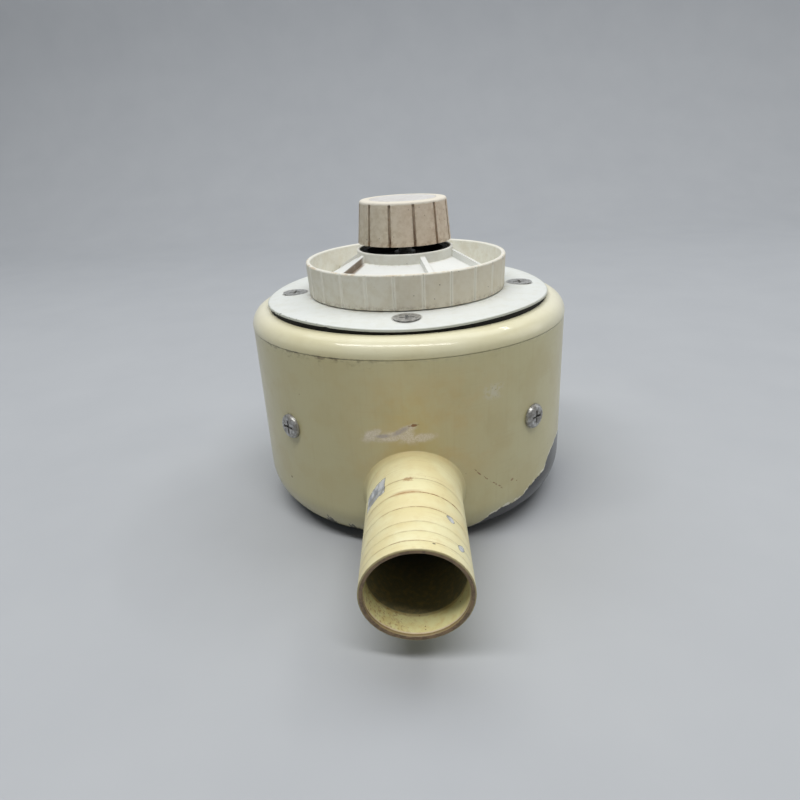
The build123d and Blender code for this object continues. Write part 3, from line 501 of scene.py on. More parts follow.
# Places on the tube are (angle round it from the top towards +X, distance from the can's axis).
# A score is its distance, half width, strength, and the angle where it is darkest.
SCORES = (
    (76.9, 0.16, 0.45, 0.0),
    (84.7, 0.24, 0.95, 35.0),
    (92.5, 0.20, 0.70, 10.0),
    (99.7, 0.14, 0.32, -30.0),
    (104.1, 0.14, 0.30, 25.0),
    (108.3, 0.17, 0.62, 5.0),
)
RUST_BLOT = ((-6.0, 77.2), (9.0, 1.5), 0.0)
BARE_FLAKES = (((40.5, 94.0), (5.6, 1.7), 4.0), ((52.0, 104.6), (6.2, 1.5), -5.0))
DARK_FLECK = ((18.7, 109.0), (2.2, 0.4), 0.0)
RUST = (150, 98, 48)


def tube_scores(f, up, angle, along, outer, base):
    """Scored rings, rust round them and shade at the top of the root."""
    wander = f.wobble(0.5, 0.12, 2.0)
    worn = f.noise(0.4, 4.0, 0.7, vector=f.join(f.times(angle, 0.28), f.times(along, 0.5), 5.0))
    fade = f.blend(f.step(worn, 0.36, 0.56), 0.35, 1.0)
    grooves = []
    lines = []
    for place, half, strength, darkest in SCORES:
        groove = f.near(f.add(along, wander), place, half * 0.5, half * 0.8)
        sector = f.blend(f.near(angle, darkest, 25.0, 35.0), 0.45, 1.0)
        grooves.append(groove)
        lines.append(f.times(groove, sector, strength, fade))
    base = f.over(base, (142, 88, 40), f.largest(*lines), outer)
    halo = f.times(f.near(along, 84.5, 0.3, 1.3), f.near(angle, -8.0, 6.0, 16.0))
    base = f.over(base, (176, 120, 60), halo, outer, 0.45)
    base = f.over(base, (206, 194, 144), f.step(along, 66.5, 62.5), f.step(up, *ROOT_SHADE), 0.50)
    base = f.over(base, RUST, f.specks(6.5, 0.42, 0.30, vector=f.shifted(3, 9, 4)), 0.6)
    blot = f.add(f.oval(angle, along, *RUST_BLOT), f.wobble(2.4, 0.9, 4.0, 0.7))
    return f.over(base, (158, 102, 48), f.step(blot, 0.1, 0.6), outer, 0.6), f.largest(*grooves)


def clamp_wear(f, angle, along, outer, base):
    """Bare metal where a clamp rubbed, two flakes and a dark fleck."""
    tear = f.wobble(5.0, 0.55, 4.0, 0.65)
    slant = f.add(f.times(f.add(angle, 48.0), 0.055), along, f.times(tear, 0.35))
    patch = f.near(f.add(angle, f.times(tear, 0.8)), -50.0, 15.5, 1.2)
    patch = f.times(patch, f.near(slant, 76.4, 4.1, 0.35))
    flakes = f.step(f.add(f.ovals(angle, along, BARE_FLAKES), f.times(tear, 0.14)), 0.10, 0.30)
    bare = f.times(f.largest(patch, flakes), outer)
    rub = f.patches(0.40, 0.62, 0.30, 3.0, 0.55, vector=f.stretched(1.0, 0.7, 1.6))
    colour = f.mix(f.times(bare, 0.95), base, f.mix(rub, srgb(168, 172, 180), srgb(232, 235, 240)))
    colour = f.over(colour, (84, 82, 84), f.near(bare, 0.5, 0.30, 0.19), outer, 0.7)
    fleck = f.step(f.oval(angle, along, *DARK_FLECK), 0.0, 0.6)
    return f.over(colour, (70, 56, 42), fleck, 0.85), bare


def tube_bore(f, along, slanted, ragged):
    """The bore: bright and rusty near the mouth, darker from about 10 mm in and darker still further in, with
    a worn band at the lip.
    """
    bore = f.mix(f.patches(0.4, 0.65, 0.35, 4.0, 0.6), srgb(244, 238, 180), srgb(236, 222, 156))
    bore = f.over(bore, (148, 92, 44), f.specks(1.7, 0.26, 0.5), 0.8)
    grubby = f.patches(0.50, 0.62, 0.9, 5.0, 0.7, vector=f.shifted(6, 2, 8))
    bore = f.over(bore, (172, 116, 56), f.step(f.x, 3.0, -9.0), grubby, 0.55)
    stain = f.near(f.add(along, f.times(ragged, 1.4)), 102.3, 0.3, 0.7)
    bore = f.over(bore, (150, 112, 62), stain, 0.4)
    far_in = f.mix(f.patches(0.44, 0.66, 0.6, 4.0, 0.7), srgb(136, 132, 104), srgb(168, 152, 112))
    far_in = f.over(far_in, (110, 108, 96), f.step(along, 96.0, 70.0))
    # Darker from about 10 mm in, and darker still towards 70 mm.
    bore = f.mix(f.step(f.add(along, f.times(ragged, 0.5)), 102.2, 101.6), bore, far_in)
    rim = f.add(slanted, f.times(ragged, 0.2))
    bore = f.over(bore, (132, 104, 72), f.step(rim, 111.0, 111.2), 0.85)
    return f.over(bore, (232, 212, 190), f.near(rim, 110.85, 0.14, 0.16), 0.85)


def tube_mouth(f, radius, up, along, outer, base):
    """A mouth worn to brown metal round its rim."""
    ragged = f.wobble(0.9, 0.7, 4.0, 0.65)
    slanted = f.add(along, f.times(f.minus(1.0, f.times(up, 1 / TUBE_R)), MOUTH_SLANT / 2))
    lip = f.step(slanted, 111.75, 112.1)
    rim = f.mix(f.patches(0.42, 0.62, 0.5, 4.0, 0.7), srgb(126, 100, 72), srgb(92, 70, 50))
    rim = f.over(rim, (150, 138, 98), f.step(f.add(radius, f.times(ragged, 0.12)), 15.36, 15.54))
    colour = f.mix(f.times(lip, 0.95), base, rim)
    chafe = f.step(f.add(along, f.times(ragged, 2.2)), 110.4, 111.9)
    colour = f.over(colour, (170, 128, 78), chafe, f.patches(0.52, 0.62, 0.5), outer, 0.15)
    inner = f.times(f.step(radius, 15.0, 14.7), f.inverse(lip))
    return f.mix(inner, colour, tube_bore(f, along, slanted, ragged)), lip


def tube_paint():
    """Yellower enamel on the inlet tube, with scored rings, bare patches and a worn mouth."""
    f = Finish("tube_enamel", coat=0.2, coat_roughness=0.16, specular=0.45)
    up = f.minus(f.z, TUBE_Z)
    radius = f.length(f.x, up)
    angle = f.math("DEGREES", f.math("ARCTAN2", f.x, up))
    along = f.times(f.y, -1.0)
    outer = f.step(radius, 15.3, 15.6)
    mottle = f.noise(0.3, 5.0, 0.6)
    colour = f.mix(f.patches(0.35, 0.66, 0.08, 4.0, 0.6), srgb(238, 231, 186), srgb(232, 220, 170))
    colour = f.over(colour, (216, 196, 142), f.step(mottle, 0.48, 0.74), 0.30)
    turned = f.noise(1.0, 3.0, 0.6, vector=f.join(f.times(along, 1.5), f.times(angle, 0.012), 1.0))
    colour = f.over(colour, (192, 164, 108), f.step(turned, 0.55, 0.74), 0.28)
    colour, groove = tube_scores(f, up, angle, along, outer, colour)
    colour, bare = clamp_wear(f, angle, along, outer, colour)
    colour, lip = tube_mouth(f, radius, up, along, outer, colour)
    height = f.add(f.times(f.noise(2.4, 2.0), 0.012), f.times(mottle, 0.05), f.times(turned, 0.02))
    height = f.add(height, f.times(groove, outer, -0.10), f.times(bare, -0.10))
    rough = f.add(0.34, f.times(mottle, 0.2))
    rough = f.blend(lip, rough, 0.55)
    rough = f.blend(bare, rough, 0.36)
    return f.finish(colour, rough, height, 0.9, metallic=f.times(bare, 0.35))


def plate_paint():
    """Off-white satin enamel on the trim plate, chipped along its edge."""
    f = Finish("plate_enamel", coat=0.1, coat_roughness=0.25, specular=0.4)
    radius, azimuth = f.polar()
    mottle = f.noise(0.25, 5.0, 0.6)
    base = f.mix(f.step(mottle, 0.4, 0.7), srgb(226, 229, 226), srgb(221, 223, 217))
    grime = f.times(f.step(radius, 41.0, 37.5), f.patches(0.42, 0.66, 0.3))
    base = f.over(base, (176, 168, 148), grime, 0.40)
    scuff = f.noise(0.7, 4.0, 0.7, vector=f.stretched(0.25, 1.0, 1.0))
    base = f.over(base, (196, 192, 178), f.step(scuff, 0.58, 0.72), 0.10)
    for x, y in SCREW_SPOTS:
        away = f.length(f.minus(f.x, x), f.minus(f.y, y))
        base = f.over(base, (120, 112, 98), f.near(away, 4.95, 0.10, 0.30), 0.30)
    base = f.over(base, (120, 108, 90), f.specks(6.0, 0.18, 0.14), 0.5)
    base = f.over(base, (168, 172, 156), f.step(radius, 53.3, 53.8), 0.55)
    front_left = f.near(azimuth, -46.0, 9.0, 8.0)
    chips = f.patches(0.60, 0.64, 0.6, 4.0, 0.7)
    chips = f.times(chips, f.step(f.add(radius, mottle), 53.2, 54.0), front_left)
    base = f.over(base, (120, 122, 118), chips)
    height = f.add(f.times(mottle, 0.05), f.times(f.noise(2.0, 3.0), 0.02))
    height = f.add(height, f.times(chips, -0.10))
    rough = f.add(0.38, f.times(mottle, 0.18))
    return f.finish(base, rough, height, 0.8)


# Each rib of the ring: its azimuth, and how much dirt lies against it.
RIB_DIRT = ((-58.0, 1.0), (20.0, 0.35), (76.0, 0.30), (-130.0, 0.30), (144.0, 0.30))


def ring_plastic():
    """Aged off-white moulding: dirt beside the flutes, at the rib feet and along the rims; a painted
    highlight along each flute, and painted shade on the left inner wall and inside the hub.
    """
    f = Finish("ring_moulding", specular=0.42)
    radius, azimuth = f.polar()
    mottle = f.noise(0.3, 5.0, 0.62)
    grain = f.noise(3.0, 3.0, 0.6)
    base = f.mix(f.step(mottle, 0.38, 0.68), srgb(230, 229, 218), srgb(220, 216, 200))
    wall = f.step(radius, 36.9, 37.1)
    warm = f.near(azimuth, 50.0, 35.0, 40.0)
    base = f.over(base, (194, 186, 162), wall, 0.36)
    base = f.over(base, (216, 200, 170), wall, warm, 0.30)
    off = f.from_groove(azimuth, *RING_GROOVES)
    flute = f.times(f.step(off, 1.4, 0.4), wall)
    beside = f.times(f.near(off, 1.9, 0.4, 0.9), wall, f.patches(0.42, 0.66, 0.35))
    base = f.over(base, (170, 158, 134), beside, 0.16)
    # Painted highlight: a pale line along each flute, standing for its lit flank.
    base = f.over(base, (240, 238, 228), flute, 0.60)
    notch = f.times(flute, f.step(f.z, 92.6, 93.4), f.step(azimuth, 40.0, 70.0))
    base = f.over(base, (120, 100, 76), notch, 0.55)
    side_amount = f.blend(f.near(azimuth, 60.0, 45.0, 25.0), 0.12, 1.0)
    specks = f.largest(f.specks(2.2, 0.26, 0.36), f.specks(6.0, 0.5, 0.40, vector=f.shifted(4, 8, 2)))
    base = f.over(base, (84, 62, 42), specks, side_amount, 0.90)
    foot = f.times(f.step(f.z, 84.2, 82.2), f.patches(0.40, 0.62, 0.6))
    base = f.over(base, (140, 126, 104), foot, wall, 0.45)
    lip = f.times(f.step(f.z, 93.4, 94.0), f.step(radius, 34.0, 35.5))
    tan = f.patches(0.46, 0.62, 0.30, 4.0, 0.6, vector=f.shifted(1, 6, 0))
    base = f.over(base, (240, 239, 232), lip, 0.6)
    left = f.step(f.x, 4.0, -12.0)
    tan_amount = f.blend(left, 0.5, 1.0)
    base = f.over(base, (198, 172, 128), lip, f.step(radius, 37.0, 37.6), tan, tan_amount, 0.55)
    inner_wall = f.times(f.step(radius, 36.8, 36.6), f.step(radius, 35.6, 36.2))
    # Painted shade: the inner wall tinted tan on the left.
    base = f.over(base, (222, 214, 200), inner_wall, left, 0.15)
    corner = f.times(f.near(radius, 36.0, 0.3, 0.8), f.step(f.z, 86.0, 84.6))
    corner = f.times(corner, f.patches(0.44, 0.64, 0.6))
    base = f.over(base, (132, 110, 84), corner, f.blend(left, 0.25, 1.0), 0.5)
    cone = f.times(f.step(radius, 35.8, 35.2), f.step(radius, 17.4, 17.8))
    hub = f.step(radius, 18.9, 18.4)
    base = f.over(base, (239, 241, 240), cone, f.blend(hub, 0.85, 0.35))
    hub_foot = f.times(f.near(radius, 18.6, 0.3, 0.7), f.step(f.z, 94.4, 93.6))
    base = f.over(base, (140, 120, 92), hub_foot, f.patches(0.46, 0.66, 0.6), 0.10)
    for angle, amount in RIB_DIRT:
        beyond = f.minus(azimuth, angle)
        off_rib = f.times(beyond, radius, math.radians(1))
        side = f.times(f.step(off_rib, 0.75, 0.95), f.step(beyond, 9.0, 4.0))
        ground = f.step(f.add(f.z, f.times(radius, 0.55)), 106.9, 105.6)
        dirt = f.times(side, f.step(radius, 36.0, 34.5), f.step(radius, 18.4, 20.0), ground)
        dirt = f.times(dirt, f.patches(0.18, 0.44, 0.55))
        base = f.over(base, (118, 92, 62), dirt, amount * 0.8)
    # Painted shade: dark inside the hub's bore, under the knob.
    base = f.over(base, (90, 84, 72), f.step(radius, 17.3, 17.0), 0.75)
    height = f.add(f.times(mottle, 0.02), f.times(grain, 0.012))
    rough = f.add(0.42, f.times(mottle, 0.22))
    return f.finish(base, rough, height, 0.8)


def knob_plastic():
    """Beige moulding with packed brown dirt in the finger grooves, a painted highlight on its top edge and
    painted shade inside it.
    """
    f = Finish("knob_moulding", specular=0.42)
    radius, azimuth = f.polar()
    mottle = f.noise(0.45, 5.0, 0.65)
    grain = f.noise(3.2, 3.0, 0.6)
    base = f.mix(f.step(mottle, 0.38, 0.68), srgb(213, 203, 184), srgb(196, 183, 160))
    pink = f.near(azimuth, 40.0, 30.0, 40.0)
    base = f.over(base, (222, 196, 174), pink, 0.30)
    base = f.over(base, (176, 170, 152), f.near(azimuth, -70.0, 30.0, 25.0), 0.25)
    off = f.from_groove(azimuth, *KNOB_GROOVES)
    wall = f.times(f.step(radius, 14.8, 15.4), f.step(f.z, 114.7, 114.2))
    packed = f.noise(0.8, 4.0, 0.65, vector=f.stretched(1, 1, 0.45))
    uneven = f.add(off, f.times(f.minus(packed, 0.5), 2.6))
    groove = f.times(f.step(uneven, 2.3, 1.0), wall, f.blend(f.step(packed, 0.40, 0.56), 0.55, 1.0))
    groove = f.times(groove, f.blend(f.step(f.z, 110.0, 101.0), 0.62, 1.0))
    base = f.over(base, (96, 66, 40), groove, 0.95)
    beside = f.times(f.step(off, 5.0, 1.6), wall, f.patches(0.46, 0.66, 0.6, 4.0, 0.7))
    base = f.over(base, (150, 122, 92), beside, 0.40)
    skirt = f.times(f.step(f.z, 103.0, 100.0), f.patches(0.42, 0.62, 0.6))
    base = f.over(base, (156, 128, 98), skirt, 0.45)
    specks = f.largest(f.specks(1.8, 0.20, 0.34), f.specks(6.0, 0.40, 0.30, vector=f.shifted(2, 5, 1)))
    base = f.over(base, (92, 68, 48), specks, 0.75)
    # Painted highlight: the rounded top edge lighter, cream-white.
    crown_highlight = f.step(f.add(f.z, f.times(f.minus(mottle, 0.5), 1.2)), 113.7, 114.3)
    base = f.over(base, (240, 235, 222), crown_highlight, 0.75)
    stained = f.times(f.near(azimuth, 60.0, 20.0, 25.0), wall, f.patches(0.44, 0.64, 0.5))
    base = f.over(base, (168, 134, 104), stained, 0.25)
    # Painted shade: the knob's inside near black, where it sits over the hub.
    under = f.times(f.step(radius, 15.6, 15.0), f.step(f.z, 112.4, 111.8))
    base = f.over(base, (26, 24, 22), under)
    height = f.add(f.times(mottle, 0.06), f.times(grain, 0.025))
    rough = f.add(0.44, f.times(mottle, 0.22))
    return f.finish(base, rough, height, 0.9)


def cap_plastic():
    """Pale moulding on the knob's cap, with dirt round its edge."""
    f = Finish("cap_moulding", specular=0.45)
    radius = f.polar()[0]
    mottle = f.noise(0.5, 5.0, 0.6)
    base = f.mix(f.step(mottle, 0.4, 0.68), srgb(222, 220, 218), srgb(206, 202, 198))
    edge = f.times(f.step(radius, 11.8, 12.5), f.patches(0.38, 0.6, 0.8, 4.0, 0.55))
    base = f.over(base, (150, 134, 112), edge, 0.6)
    base = f.over(base, (120, 104, 88), f.specks(2.2, 0.16, 0.2), 0.5)
    scuff = f.noise(1.2, 4.0, 0.7, vector=f.stretched(0.3, 1.4, 1.0))
    height = f.add(f.times(mottle, 0.04), f.times(scuff, 0.015))
    return f.finish(base, f.add(0.34, f.times(scuff, 0.22)), height, 0.8)


def screw_steel(name="plated_screw_steel", metallic=0.7, grime_from=0.42):
    """Plated steel with fine machining, dull spots and stains."""
    f = Finish(name, specular=0.5)
    mottle = f.noise(0.9, 5.0, 0.65)
    brushed = f.noise(2.6, 3.0, 0.6, vector=f.stretched(0.35, 2.0, 1.0))
    base = f.mix(f.step(mottle, 0.38, 0.66), srgb(200, 200, 198), srgb(150, 149, 147))
    grime = f.patches(grime_from, grime_from + 0.16, 0.45, vector=f.shifted(7, 3, 5))
    stain = f.largest(f.specks(1.4, 0.22, 0.30), f.times(grime, 0.70))
    base = f.over(base, (92, 84, 72), stain, 0.75)
    height = f.add(f.times(brushed, 0.02), f.times(mottle, 0.03))
    rough = f.add(0.26, f.times(mottle, 0.30))
    return f.finish(base, rough, height, 0.8, metallic=f.blend(stain, metallic, 0.2))


def machined(name, low, high, rough=0.28, metallic=1.0, ring=1.0):
    """Turned metal: rings round the axis, with a mottled bloom."""
    f = Finish(name, specular=0.5)
    radius, azimuth = f.polar()
    mottle = f.noise(0.5, 4.0, 0.6)
    rings = f.join(f.times(radius, 2.4), f.times(f.z, 2.4), f.times(azimuth, 0.01))
    turned = f.noise(1.0, 2.0, 0.5, vector=rings)
    base = f.mix(f.step(mottle, 0.35, 0.68), srgb(*low), srgb(*high))
    base = f.mix(f.times(f.step(turned, 0.52, 0.7), 0.22), base, srgb(*[c * 0.7 for c in low]))
    height = f.add(f.times(turned, 0.02 * ring), f.times(mottle, 0.02))
    return f.finish(base, f.add(rough, f.times(mottle, 0.25)), height, 0.7, metallic=metallic)


def felt():
    """Matted grey acoustic felt."""
    f = Finish("acoustic_felt", specular=0.2)
    fibre = f.noise(1.6, 6.0, 0.75, distortion=1.2)
    clump = f.noise(0.3, 4.0, 0.6)
    base = f.mix(f.step(fibre, 0.35, 0.68), srgb(112, 108, 102), srgb(72, 70, 66))
    base = f.over(base, (96, 88, 76), f.step(clump, 0.5, 0.7), 0.4)
    return f.finish(base, 0.95, f.add(f.times(fibre, 0.30), f.times(clump, 0.2)), 1.0)


def rubber():
    """Black rubber, a little dusty."""
    f = Finish("black_gasket_rubber", specular=0.35)
    mottle = f.noise(0.5, 5.0, 0.65)
    base = f.mix(f.step(mottle, 0.4, 0.7), srgb(20, 20, 20), srgb(36, 35, 33))
    dust = f.patches(0.60, 0.76, 1.4, 4.0, 0.7)
    base = f.over(base, (92, 84, 72), dust, 0.25)
    return f.finish(base, f.add(0.6, f.times(mottle, 0.25)), f.times(mottle, 0.06), 0.8)


def nylon():
    """Undyed nylon."""
    f = Finish("natural_nylon", specular=0.4)
    mottle = f.noise(0.7, 4.0, 0.6)
    base = f.mix(f.step(mottle, 0.4, 0.68), srgb(226, 224, 214), srgb(204, 200, 184))
    return f.finish(base, f.add(0.42, f.times(mottle, 0.2)), f.times(mottle, 0.03), 0.8)


FINISHES = {
    "can_body": can_paint, "inlet_tube": tube_paint, "trim_plate": plate_paint, "diffuser_ring": ring_plastic,
    "control_knob": knob_plastic, "knob_cap": cap_plastic, "side_screws": screw_steel, "wall_lining": felt,
    "plate_screws": lambda: screw_steel("dulled_screw_steel", 0.6, 0.58),
    "inlet_weld": lambda: can_paint("root_enamel", 0.06, 0.4),
    "plate_gasket": rubber, "friction_washer": nylon,
    "perforated_drum": lambda: machined("perforated_aluminium", (200, 202, 205), (168, 170, 174)),
    "snap_ring": lambda: machined("blackened_spring_steel", (30, 30, 32), (20, 20, 22), 0.55, 0.2),
    "outlet_body": lambda: machined("black_anodised", (24, 24, 25), (14, 14, 15), 0.62, 0.1),
    "bridge_bush": lambda: machined("machined_brass", (214, 178, 104), (176, 138, 74), 0.26),
}
SAME = {
    "lid": "can_body", "base_lining": "wall_lining", "drum_spacers": "perforated_drum",
    "side_nuts": "side_screws", "anchor_nuts": "side_screws", "spindle": "side_screws",
    "knob_screw": "side_screws", "lock_nut": "perforated_drum", "valve_seat": "bridge_bush",
    "spindle_bridge": "outlet_body", "poppet": "outlet_body", "poppet_seal": "plate_gasket",
    "poppet_clip": "snap_ring", "stop_clip": "snap_ring", "knob_insert": "bridge_bush",
}


def dress_cad_nodes():
    """Gives every CAD node its material, and returns the materials by node."""
    made = {node: build() for node, build in FINISHES.items()}
    for node, like in SAME.items():
        made[node] = made[like]
    for node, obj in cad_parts.items():
        obj.data.materials.clear()
        obj.data.materials.append(made[node])
    return made


# ------------------------------------------------------------------ mesh pieces
def mesh_object(name, loops, material, body, node):
    """A closed shell through loops of points, that stands for a CAD node and rides on its body."""
    bm = bmesh.new()
    rows = [[bm.verts.new([c * MM for c in point]) for point in loop] for loop in loops]
    count = len(rows[0])
    for row, following in zip(rows, rows[1:] + rows[:1]):
        for k in range(count):
            nxt = (k + 1) % count
            bm.faces.new((row[k], row[nxt], following[nxt], following[k]))
    bmesh.ops.recalc_face_normals(bm, faces=bm.faces)
    mesh = bpy.data.meshes.new(name)
    bm.to_mesh(mesh)
    bm.free()
    mesh.polygons.foreach_set("use_smooth", [True] * len(mesh.polygons))
    mesh.materials.append(material)
    obj = bpy.data.objects.new(name, mesh)
    bpy.context.collection.objects.link(obj)
    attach(obj, body)
    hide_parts(node)
    return obj


def sharpen(obj, angle=40.0):
    """Marks edges sharper than the angle, so that smooth shading stops there."""
    obj.data.set_sharp_from_angle(angle=math.radians(angle))


def inlet_tube(material):
    """The tube with its scored rings cut in, and a mouth whose rim is uneven and nicked."""
    mouth = -TUBE_MOUTH_Y
    start = -TUBE_INNER_Y
    outer = [(start, TUBE_NECK_R), (TUBE_SHOULDER, TUBE_NECK_R), (TUBE_SHOULDER, TUBE_R)]
    for place, half, strength, _ in SCORES:
        deep_r = TUBE_R - SCORE_DEPTH * (0.5 + strength / 2)
        flat, brink = SCORE_FLAT * half, SCORE_BRINK * half
        outer += [(place - brink, TUBE_R), (place - flat, deep_r), (place + flat, deep_r)]
        outer += [(place + brink, TUBE_R), (place + brink + 1.2, TUBE_R)]
    bends = (0, 0.4, 0.8, 1.2, math.pi / 2)
    rim = [(mouth - RIM_ROUND * (1 - math.sin(a)), RIM_ROUND * (1 - math.cos(a))) for a in bends]
    outer += [(along, TUBE_R - inset) for along, inset in rim]
    inner = [(along, TUBE_BORE_R + inset) for along, inset in rim[::-1]]
    inner += [(mouth - d, TUBE_BORE_R) for d in (3, 8, 16, 28, 44)] + [(start, TUBE_BORE_R)]
    loops = []
    for along, radius in outer + inner:
        worn = max(0.0, 1 - (mouth - along) / RIM_WEAR)
        slant = MOUTH_SLANT / 2 * max(0.0, (along - SLANT_FROM) / (mouth - SLANT_FROM))
        loop = []
        for _, sine, cosine in around(TUBE_STEPS):
            nick = abs(noise.noise(Vector((sine * 9, cosine * 9, 4.0))))
            burr = noise.noise(Vector((sine * 26, cosine * 26, along * 0.8)))
            r = radius + worn * BURR * (burr - nick)
            y = along - slant * (1 - cosine) - worn * BURR * (2 * nick + abs(burr))
            loop.append((r * sine, -y, TUBE_Z + r * cosine))
        loops.append(loop)
    obj = mesh_object("inlet_tube_scored", loops, material, "housing", "inlet_tube")
    sharpen(obj, 38.0)


def can_depth(x, z):
    """How far the can's skin stands from the axis towards -Y at this x and height."""
    radius = CAN_R
    if z < BASE_CORNER_R:
        radius = CAN_R - BASE_CORNER_R + math.sqrt(BASE_CORNER_R ** 2 - (BASE_CORNER_R - z) ** 2)
    return math.sqrt(radius ** 2 - x ** 2)


def weld_flare(material):
    """The can's metal drawn out round the tube root, hand dressed: a curved flare from can to tube."""
    rows = [[] for _ in range(FLARE_ROWS + 3)]
    for _, ux, uz in around(FLARE_STEPS):
        size = FLARE * (1 + FLARE_UNEVEN * noise.noise(Vector((ux * 1.7, uz * 1.7, 2.0))))
        size *= 1 - FLARE_TOP_THINNER * max(0.0, uz)
        size = min(size, FLARE_UNDER) if uz < -0.5 else size
        foot = (TUBE_R + size) * ux, TUBE_Z + (TUBE_R + size) * uz
        start = Vector((foot[0], -can_depth(*foot) + 0.02, foot[1]))
        root = TUBE_R * ux, TUBE_Z + TUBE_R * uz
        corner = Vector((root[0], -can_depth(*root), root[1]))
        end = Vector((root[0], -FLARE_END, root[1])) + 0.015 * Vector((ux, 0, uz))
        for row in range(FLARE_ROWS + 1):
            t = row / FLARE_ROWS
            point = start * (1 - t) ** 2 + corner * (2 * t * (1 - t)) + end * t ** 2
            point += 0.05 * 4 * t * (1 - t) * noise.noise(point * 0.5) * Vector((ux, -1, uz))
            rows[row].append(tuple(point))
        hidden = FLARE_SUNK * Vector((ux, 0.0, uz))
        rows[FLARE_ROWS + 1].append(tuple(end - hidden))
        rows[FLARE_ROWS + 2].append(tuple(start + Vector((0, 0.7, 0)) - 0.2 * hidden))
    obj = mesh_object("inlet_flare", rows, material, "housing", "inlet_weld")
    sharpen(obj)


def plate_height(radius, azimuth):
    """The plate's top: pulled down at each screw, sprung up between them."""
    share = max(0.0, (radius - PLATE_FLAT_R) / (PLATE_R - PLATE_FLAT_R)) ** 1.8
    height = PLATE_TOP - share * (PLATE_EDGE_DROP + PLATE_WAVE * math.cos(4 * azimuth))
    for x, y in SCREW_SPOTS:
        away = math.hypot(radius * math.sin(azimuth) - x, radius * math.cos(azimuth) - y)
        height -= SCREW_PULL * max(0.0, 1 - (away / SCREW_REACH) ** 2)
    return height


def cut_holes(obj, below, above, low, high):
    """Cuts a cone between two heights, with its radius below and above, at each of the four screws."""
    bm = bmesh.new()
    for x, y in SCREW_SPOTS:
        place = Matrix.Translation(Vector((x, y, (low + high) / 2)) * MM)
        bmesh.ops.create_cone(
            bm, cap_ends=True, segments=72, radius1=below * MM, radius2=above * MM,
            depth=(high - low) * MM, matrix=place,
        )
    mesh = bpy.data.meshes.new("screw_hole_cutters")
    bm.to_mesh(mesh)
    bm.free()
    cutter = bpy.data.objects.new("screw_hole_cutters", mesh)
    bpy.context.collection.objects.link(cutter)
    holes = obj.modifiers.new("screw_holes", "BOOLEAN")
    holes.operation = "DIFFERENCE"
    holes.solver = "EXACT"
    holes.object = cutter
    bpy.context.view_layer.update()
    evaluated = obj.evaluated_get(bpy.context.evaluated_depsgraph_get())
    cut = bpy.data.meshes.new_from_object(evaluated)
    obj.modifiers.clear()
    obj.data = cut
    bpy.data.objects.remove(cutter)


def plate_gasket(material):
    """The rubber gasket squeezed between the lid and the sprung plate."""
    top, under = [], []
    for radius in GASKET_RADII:
        upper, lower = [], []
        for a, sine, cosine in around(PLATE_STEPS):
            ripple = GASKET_RIPPLE * noise.noise(Vector((sine * 9, cosine * 9, 7.0)))
            r = radius + (ripple if radius > GASKET_RIPPLE_R else 0.0)
            upper.append((r * sine, -r * cosine, plate_height(radius, a) - PLATE_T - GASKET_PLAY))
            lower.append((r * sine, -r * cosine, LID_TOP + GASKET_PLAY))
        top.append(upper)
        under.append(lower)
    loops = top + under[::-1]
    obj = mesh_object("plate_gasket_squeezed", loops, material, "housing", "plate_gasket")
    cut_holes(obj, GASKET_HOLE_R, GASKET_HOLE_R, LID_TOP - 1.0, PLATE_TOP + 1.0)
    sharpen(obj)


def trim_plate(material):
    """A thin plate with slightly sprung edges and small chips along them."""
    top, under = [], []
    for radius in PLATE_RADII:
        upper, lower = [], []
        rim = PLATE_BEVEL if radius == PLATE_R else 0.0
        for a, sine, cosine in around(PLATE_STEPS):
            chip = max(0.0, noise.noise(Vector((sine * 16, cosine * 16, 1.5))) - 0.34)
            front_left = max(0.0, math.cos(a - CHIP_AZIMUTH) - CHIP_COS) / (1 - CHIP_COS)
            bite = CHIP_BITE * front_left * chip * max(0.0, (radius - CHIP_R) / (PLATE_R - CHIP_R))
            r = radius - bite
            z = plate_height(radius, a)
            upper.append((r * sine, -r * cosine, z - rim - 0.25 * bite))
            lower.append((r * sine, -r * cosine, z - PLATE_T + rim))
        top.append(upper)
        under.append(lower)
    loops = top + under[::-1]
    obj = mesh_object("trim_plate_sprung", loops, material, "housing", "trim_plate")
    cut_holes(obj, *SCREW_CONE_R, PLATE_TOP - 1.75, PLATE_TOP + 1.0)
    sharpen(obj)


# ------------------------------------------------------------- floor and lights
def floor():
    """A pale floor that sweeps up into a backdrop."""
    mesh = bpy.data.meshes.new("studio_sweep")
    bm = bmesh.new()
    half, front, bend, rise, radius = 3.0, -2.2, 0.62, 2.4, 0.35
    profile = [(front, 0.0), (bend, 0.0)]
    for k in range(1, 17):
        a = k / 16 * math.pi / 2
        profile.append((bend + radius * math.sin(a), radius * (1 - math.cos(a))))
    profile.append((bend + radius, rise))
    rows = [[bm.verts.new((x, y, z)) for x in (-half, half)] for y, z in profile]
    for a, b in zip(rows, rows[1:]):
        bm.faces.new((a[0], a[1], b[1], b[0]))
    bm.to_mesh(mesh)
    bm.free()
    mesh.polygons.foreach_set("use_smooth", [True] * len(mesh.polygons))
    obj = bpy.data.objects.new("studio_sweep", mesh)
    bpy.context.collection.objects.link(obj)
    f = Finish("pale_floor", specular=0.2)
    tone = f.noise(0.02, 3.0)
    mesh.materials.append(f.finish(f.mix(tone, srgb(176, 179, 184), srgb(184, 187, 191)), 0.85))


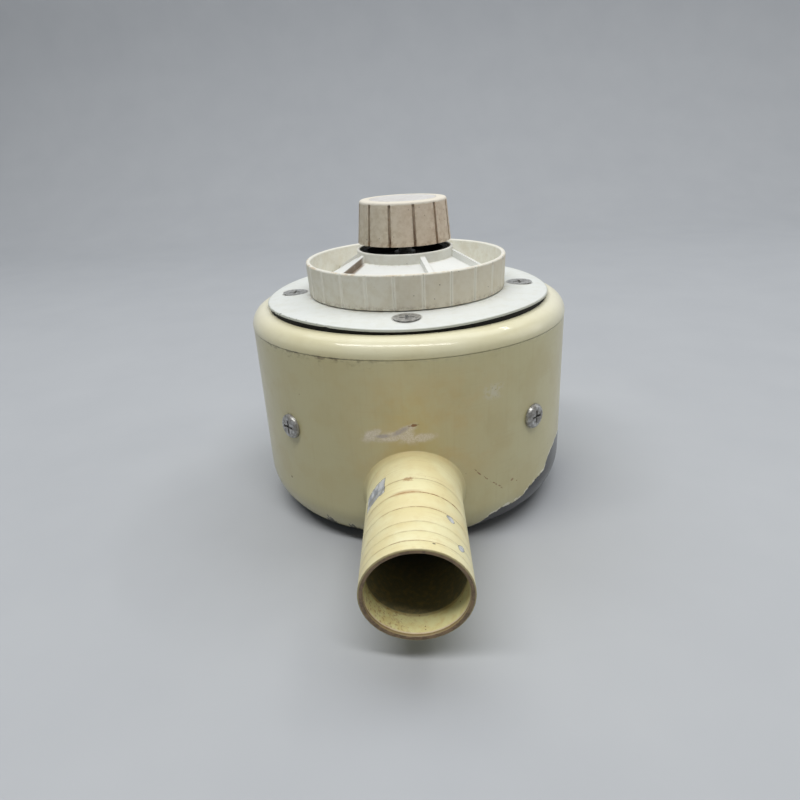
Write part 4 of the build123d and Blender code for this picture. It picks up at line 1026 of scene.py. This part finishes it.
# name, place, target, size, watts, colour
LIGHTS = (
    ("ceiling_front", (-0.12, -0.44, 1.15), (0, -0.02, 0.05), (1.4, 0.16), 10.6, (1.0, 0.99, 0.965)),
    ("ceiling_strip", (0.83, 0.61, 1.3), (0, 0, 0.07), (0.5, 0.07), 1.6, (1.0, 1.0, 0.98)),
    ("ceiling_back", (0.1, 0.45, 1.5), (0, 0, 0.05), (2.4, 0.8), 13.0, (0.97, 0.99, 1.0)),
    ("window_left", (-1.4, -0.6, 0.7), (0, 0, 0.05), (0.9, 0.9), 0.8, (0.86, 0.94, 1.0)),
    ("window_right", (1.5, 0.0, 0.5), (0, 0, 0.06), (0.9, 0.9), 3.4, (1.0, 0.985, 0.95)),
)
SKY = (0.86, 0.92, 1.0, 1.0)
SKY_STRENGTH = 0.07


def lights():
    """Soft strip lights overhead and a window on each side."""
    for name, place, target, size, watts, colour in LIGHTS:
        light = bpy.data.lights.new(name, "AREA")
        light.shape = "RECTANGLE"
        light.size, light.size_y = size
        light.energy = watts
        light.color = colour
        obj = bpy.data.objects.new(name, light)
        bpy.context.collection.objects.link(obj)
        obj.location = place
        toward = Vector(target) - Vector(place)
        obj.rotation_euler = toward.to_track_quat("-Z", "Y").to_euler()
    world = bpy.data.worlds.new("studio")
    bpy.context.scene.world = world
    world.use_nodes = True
    world.node_tree.nodes["Background"].inputs["Color"].default_value = SKY
    world.node_tree.nodes["Background"].inputs["Strength"].default_value = SKY_STRENGTH


# ----------------------------------------------------------------------- camera
CAMERA_PLACE = (0.00256, -0.24196, 0.137)
CAMERA_YAW = -0.0316
CAMERA_PITCH = 0.4046
CAMERA_ROLL = -0.0551
CAMERA_LENS = 27.99


def camera():
    """The photo's viewpoint: close, looking down, with a slight roll."""
    data = bpy.data.cameras.new("camera")
    data.sensor_width = 36.0
    data.lens = CAMERA_LENS
    data.clip_start = 0.01
    obj = bpy.data.objects.new("camera", data)
    bpy.context.collection.objects.link(obj)
    level = math.cos(CAMERA_PITCH)
    ahead = Vector((math.sin(CAMERA_YAW) * level, math.cos(CAMERA_YAW) * level, -math.sin(CAMERA_PITCH)))
    right = Vector((math.cos(CAMERA_YAW), -math.sin(CAMERA_YAW), 0.0))
    up = right.cross(ahead)
    side = math.cos(CAMERA_ROLL) * right + math.sin(CAMERA_ROLL) * up
    top = math.cos(CAMERA_ROLL) * up - math.sin(CAMERA_ROLL) * right
    turn = Matrix((side, top, -ahead)).transposed()
    obj.matrix_world = Matrix.Translation(CAMERA_PLACE) @ turn.to_4x4()
    bpy.context.scene.camera = obj


finishes = dress_cad_nodes()
inlet_tube(finishes["inlet_tube"])
weld_flare(finishes["inlet_weld"])
trim_plate(finishes["trim_plate"])
plate_gasket(finishes["plate_gasket"])
floor()
lights()
camera()
bpy.context.scene.view_settings.view_transform = "Standard"
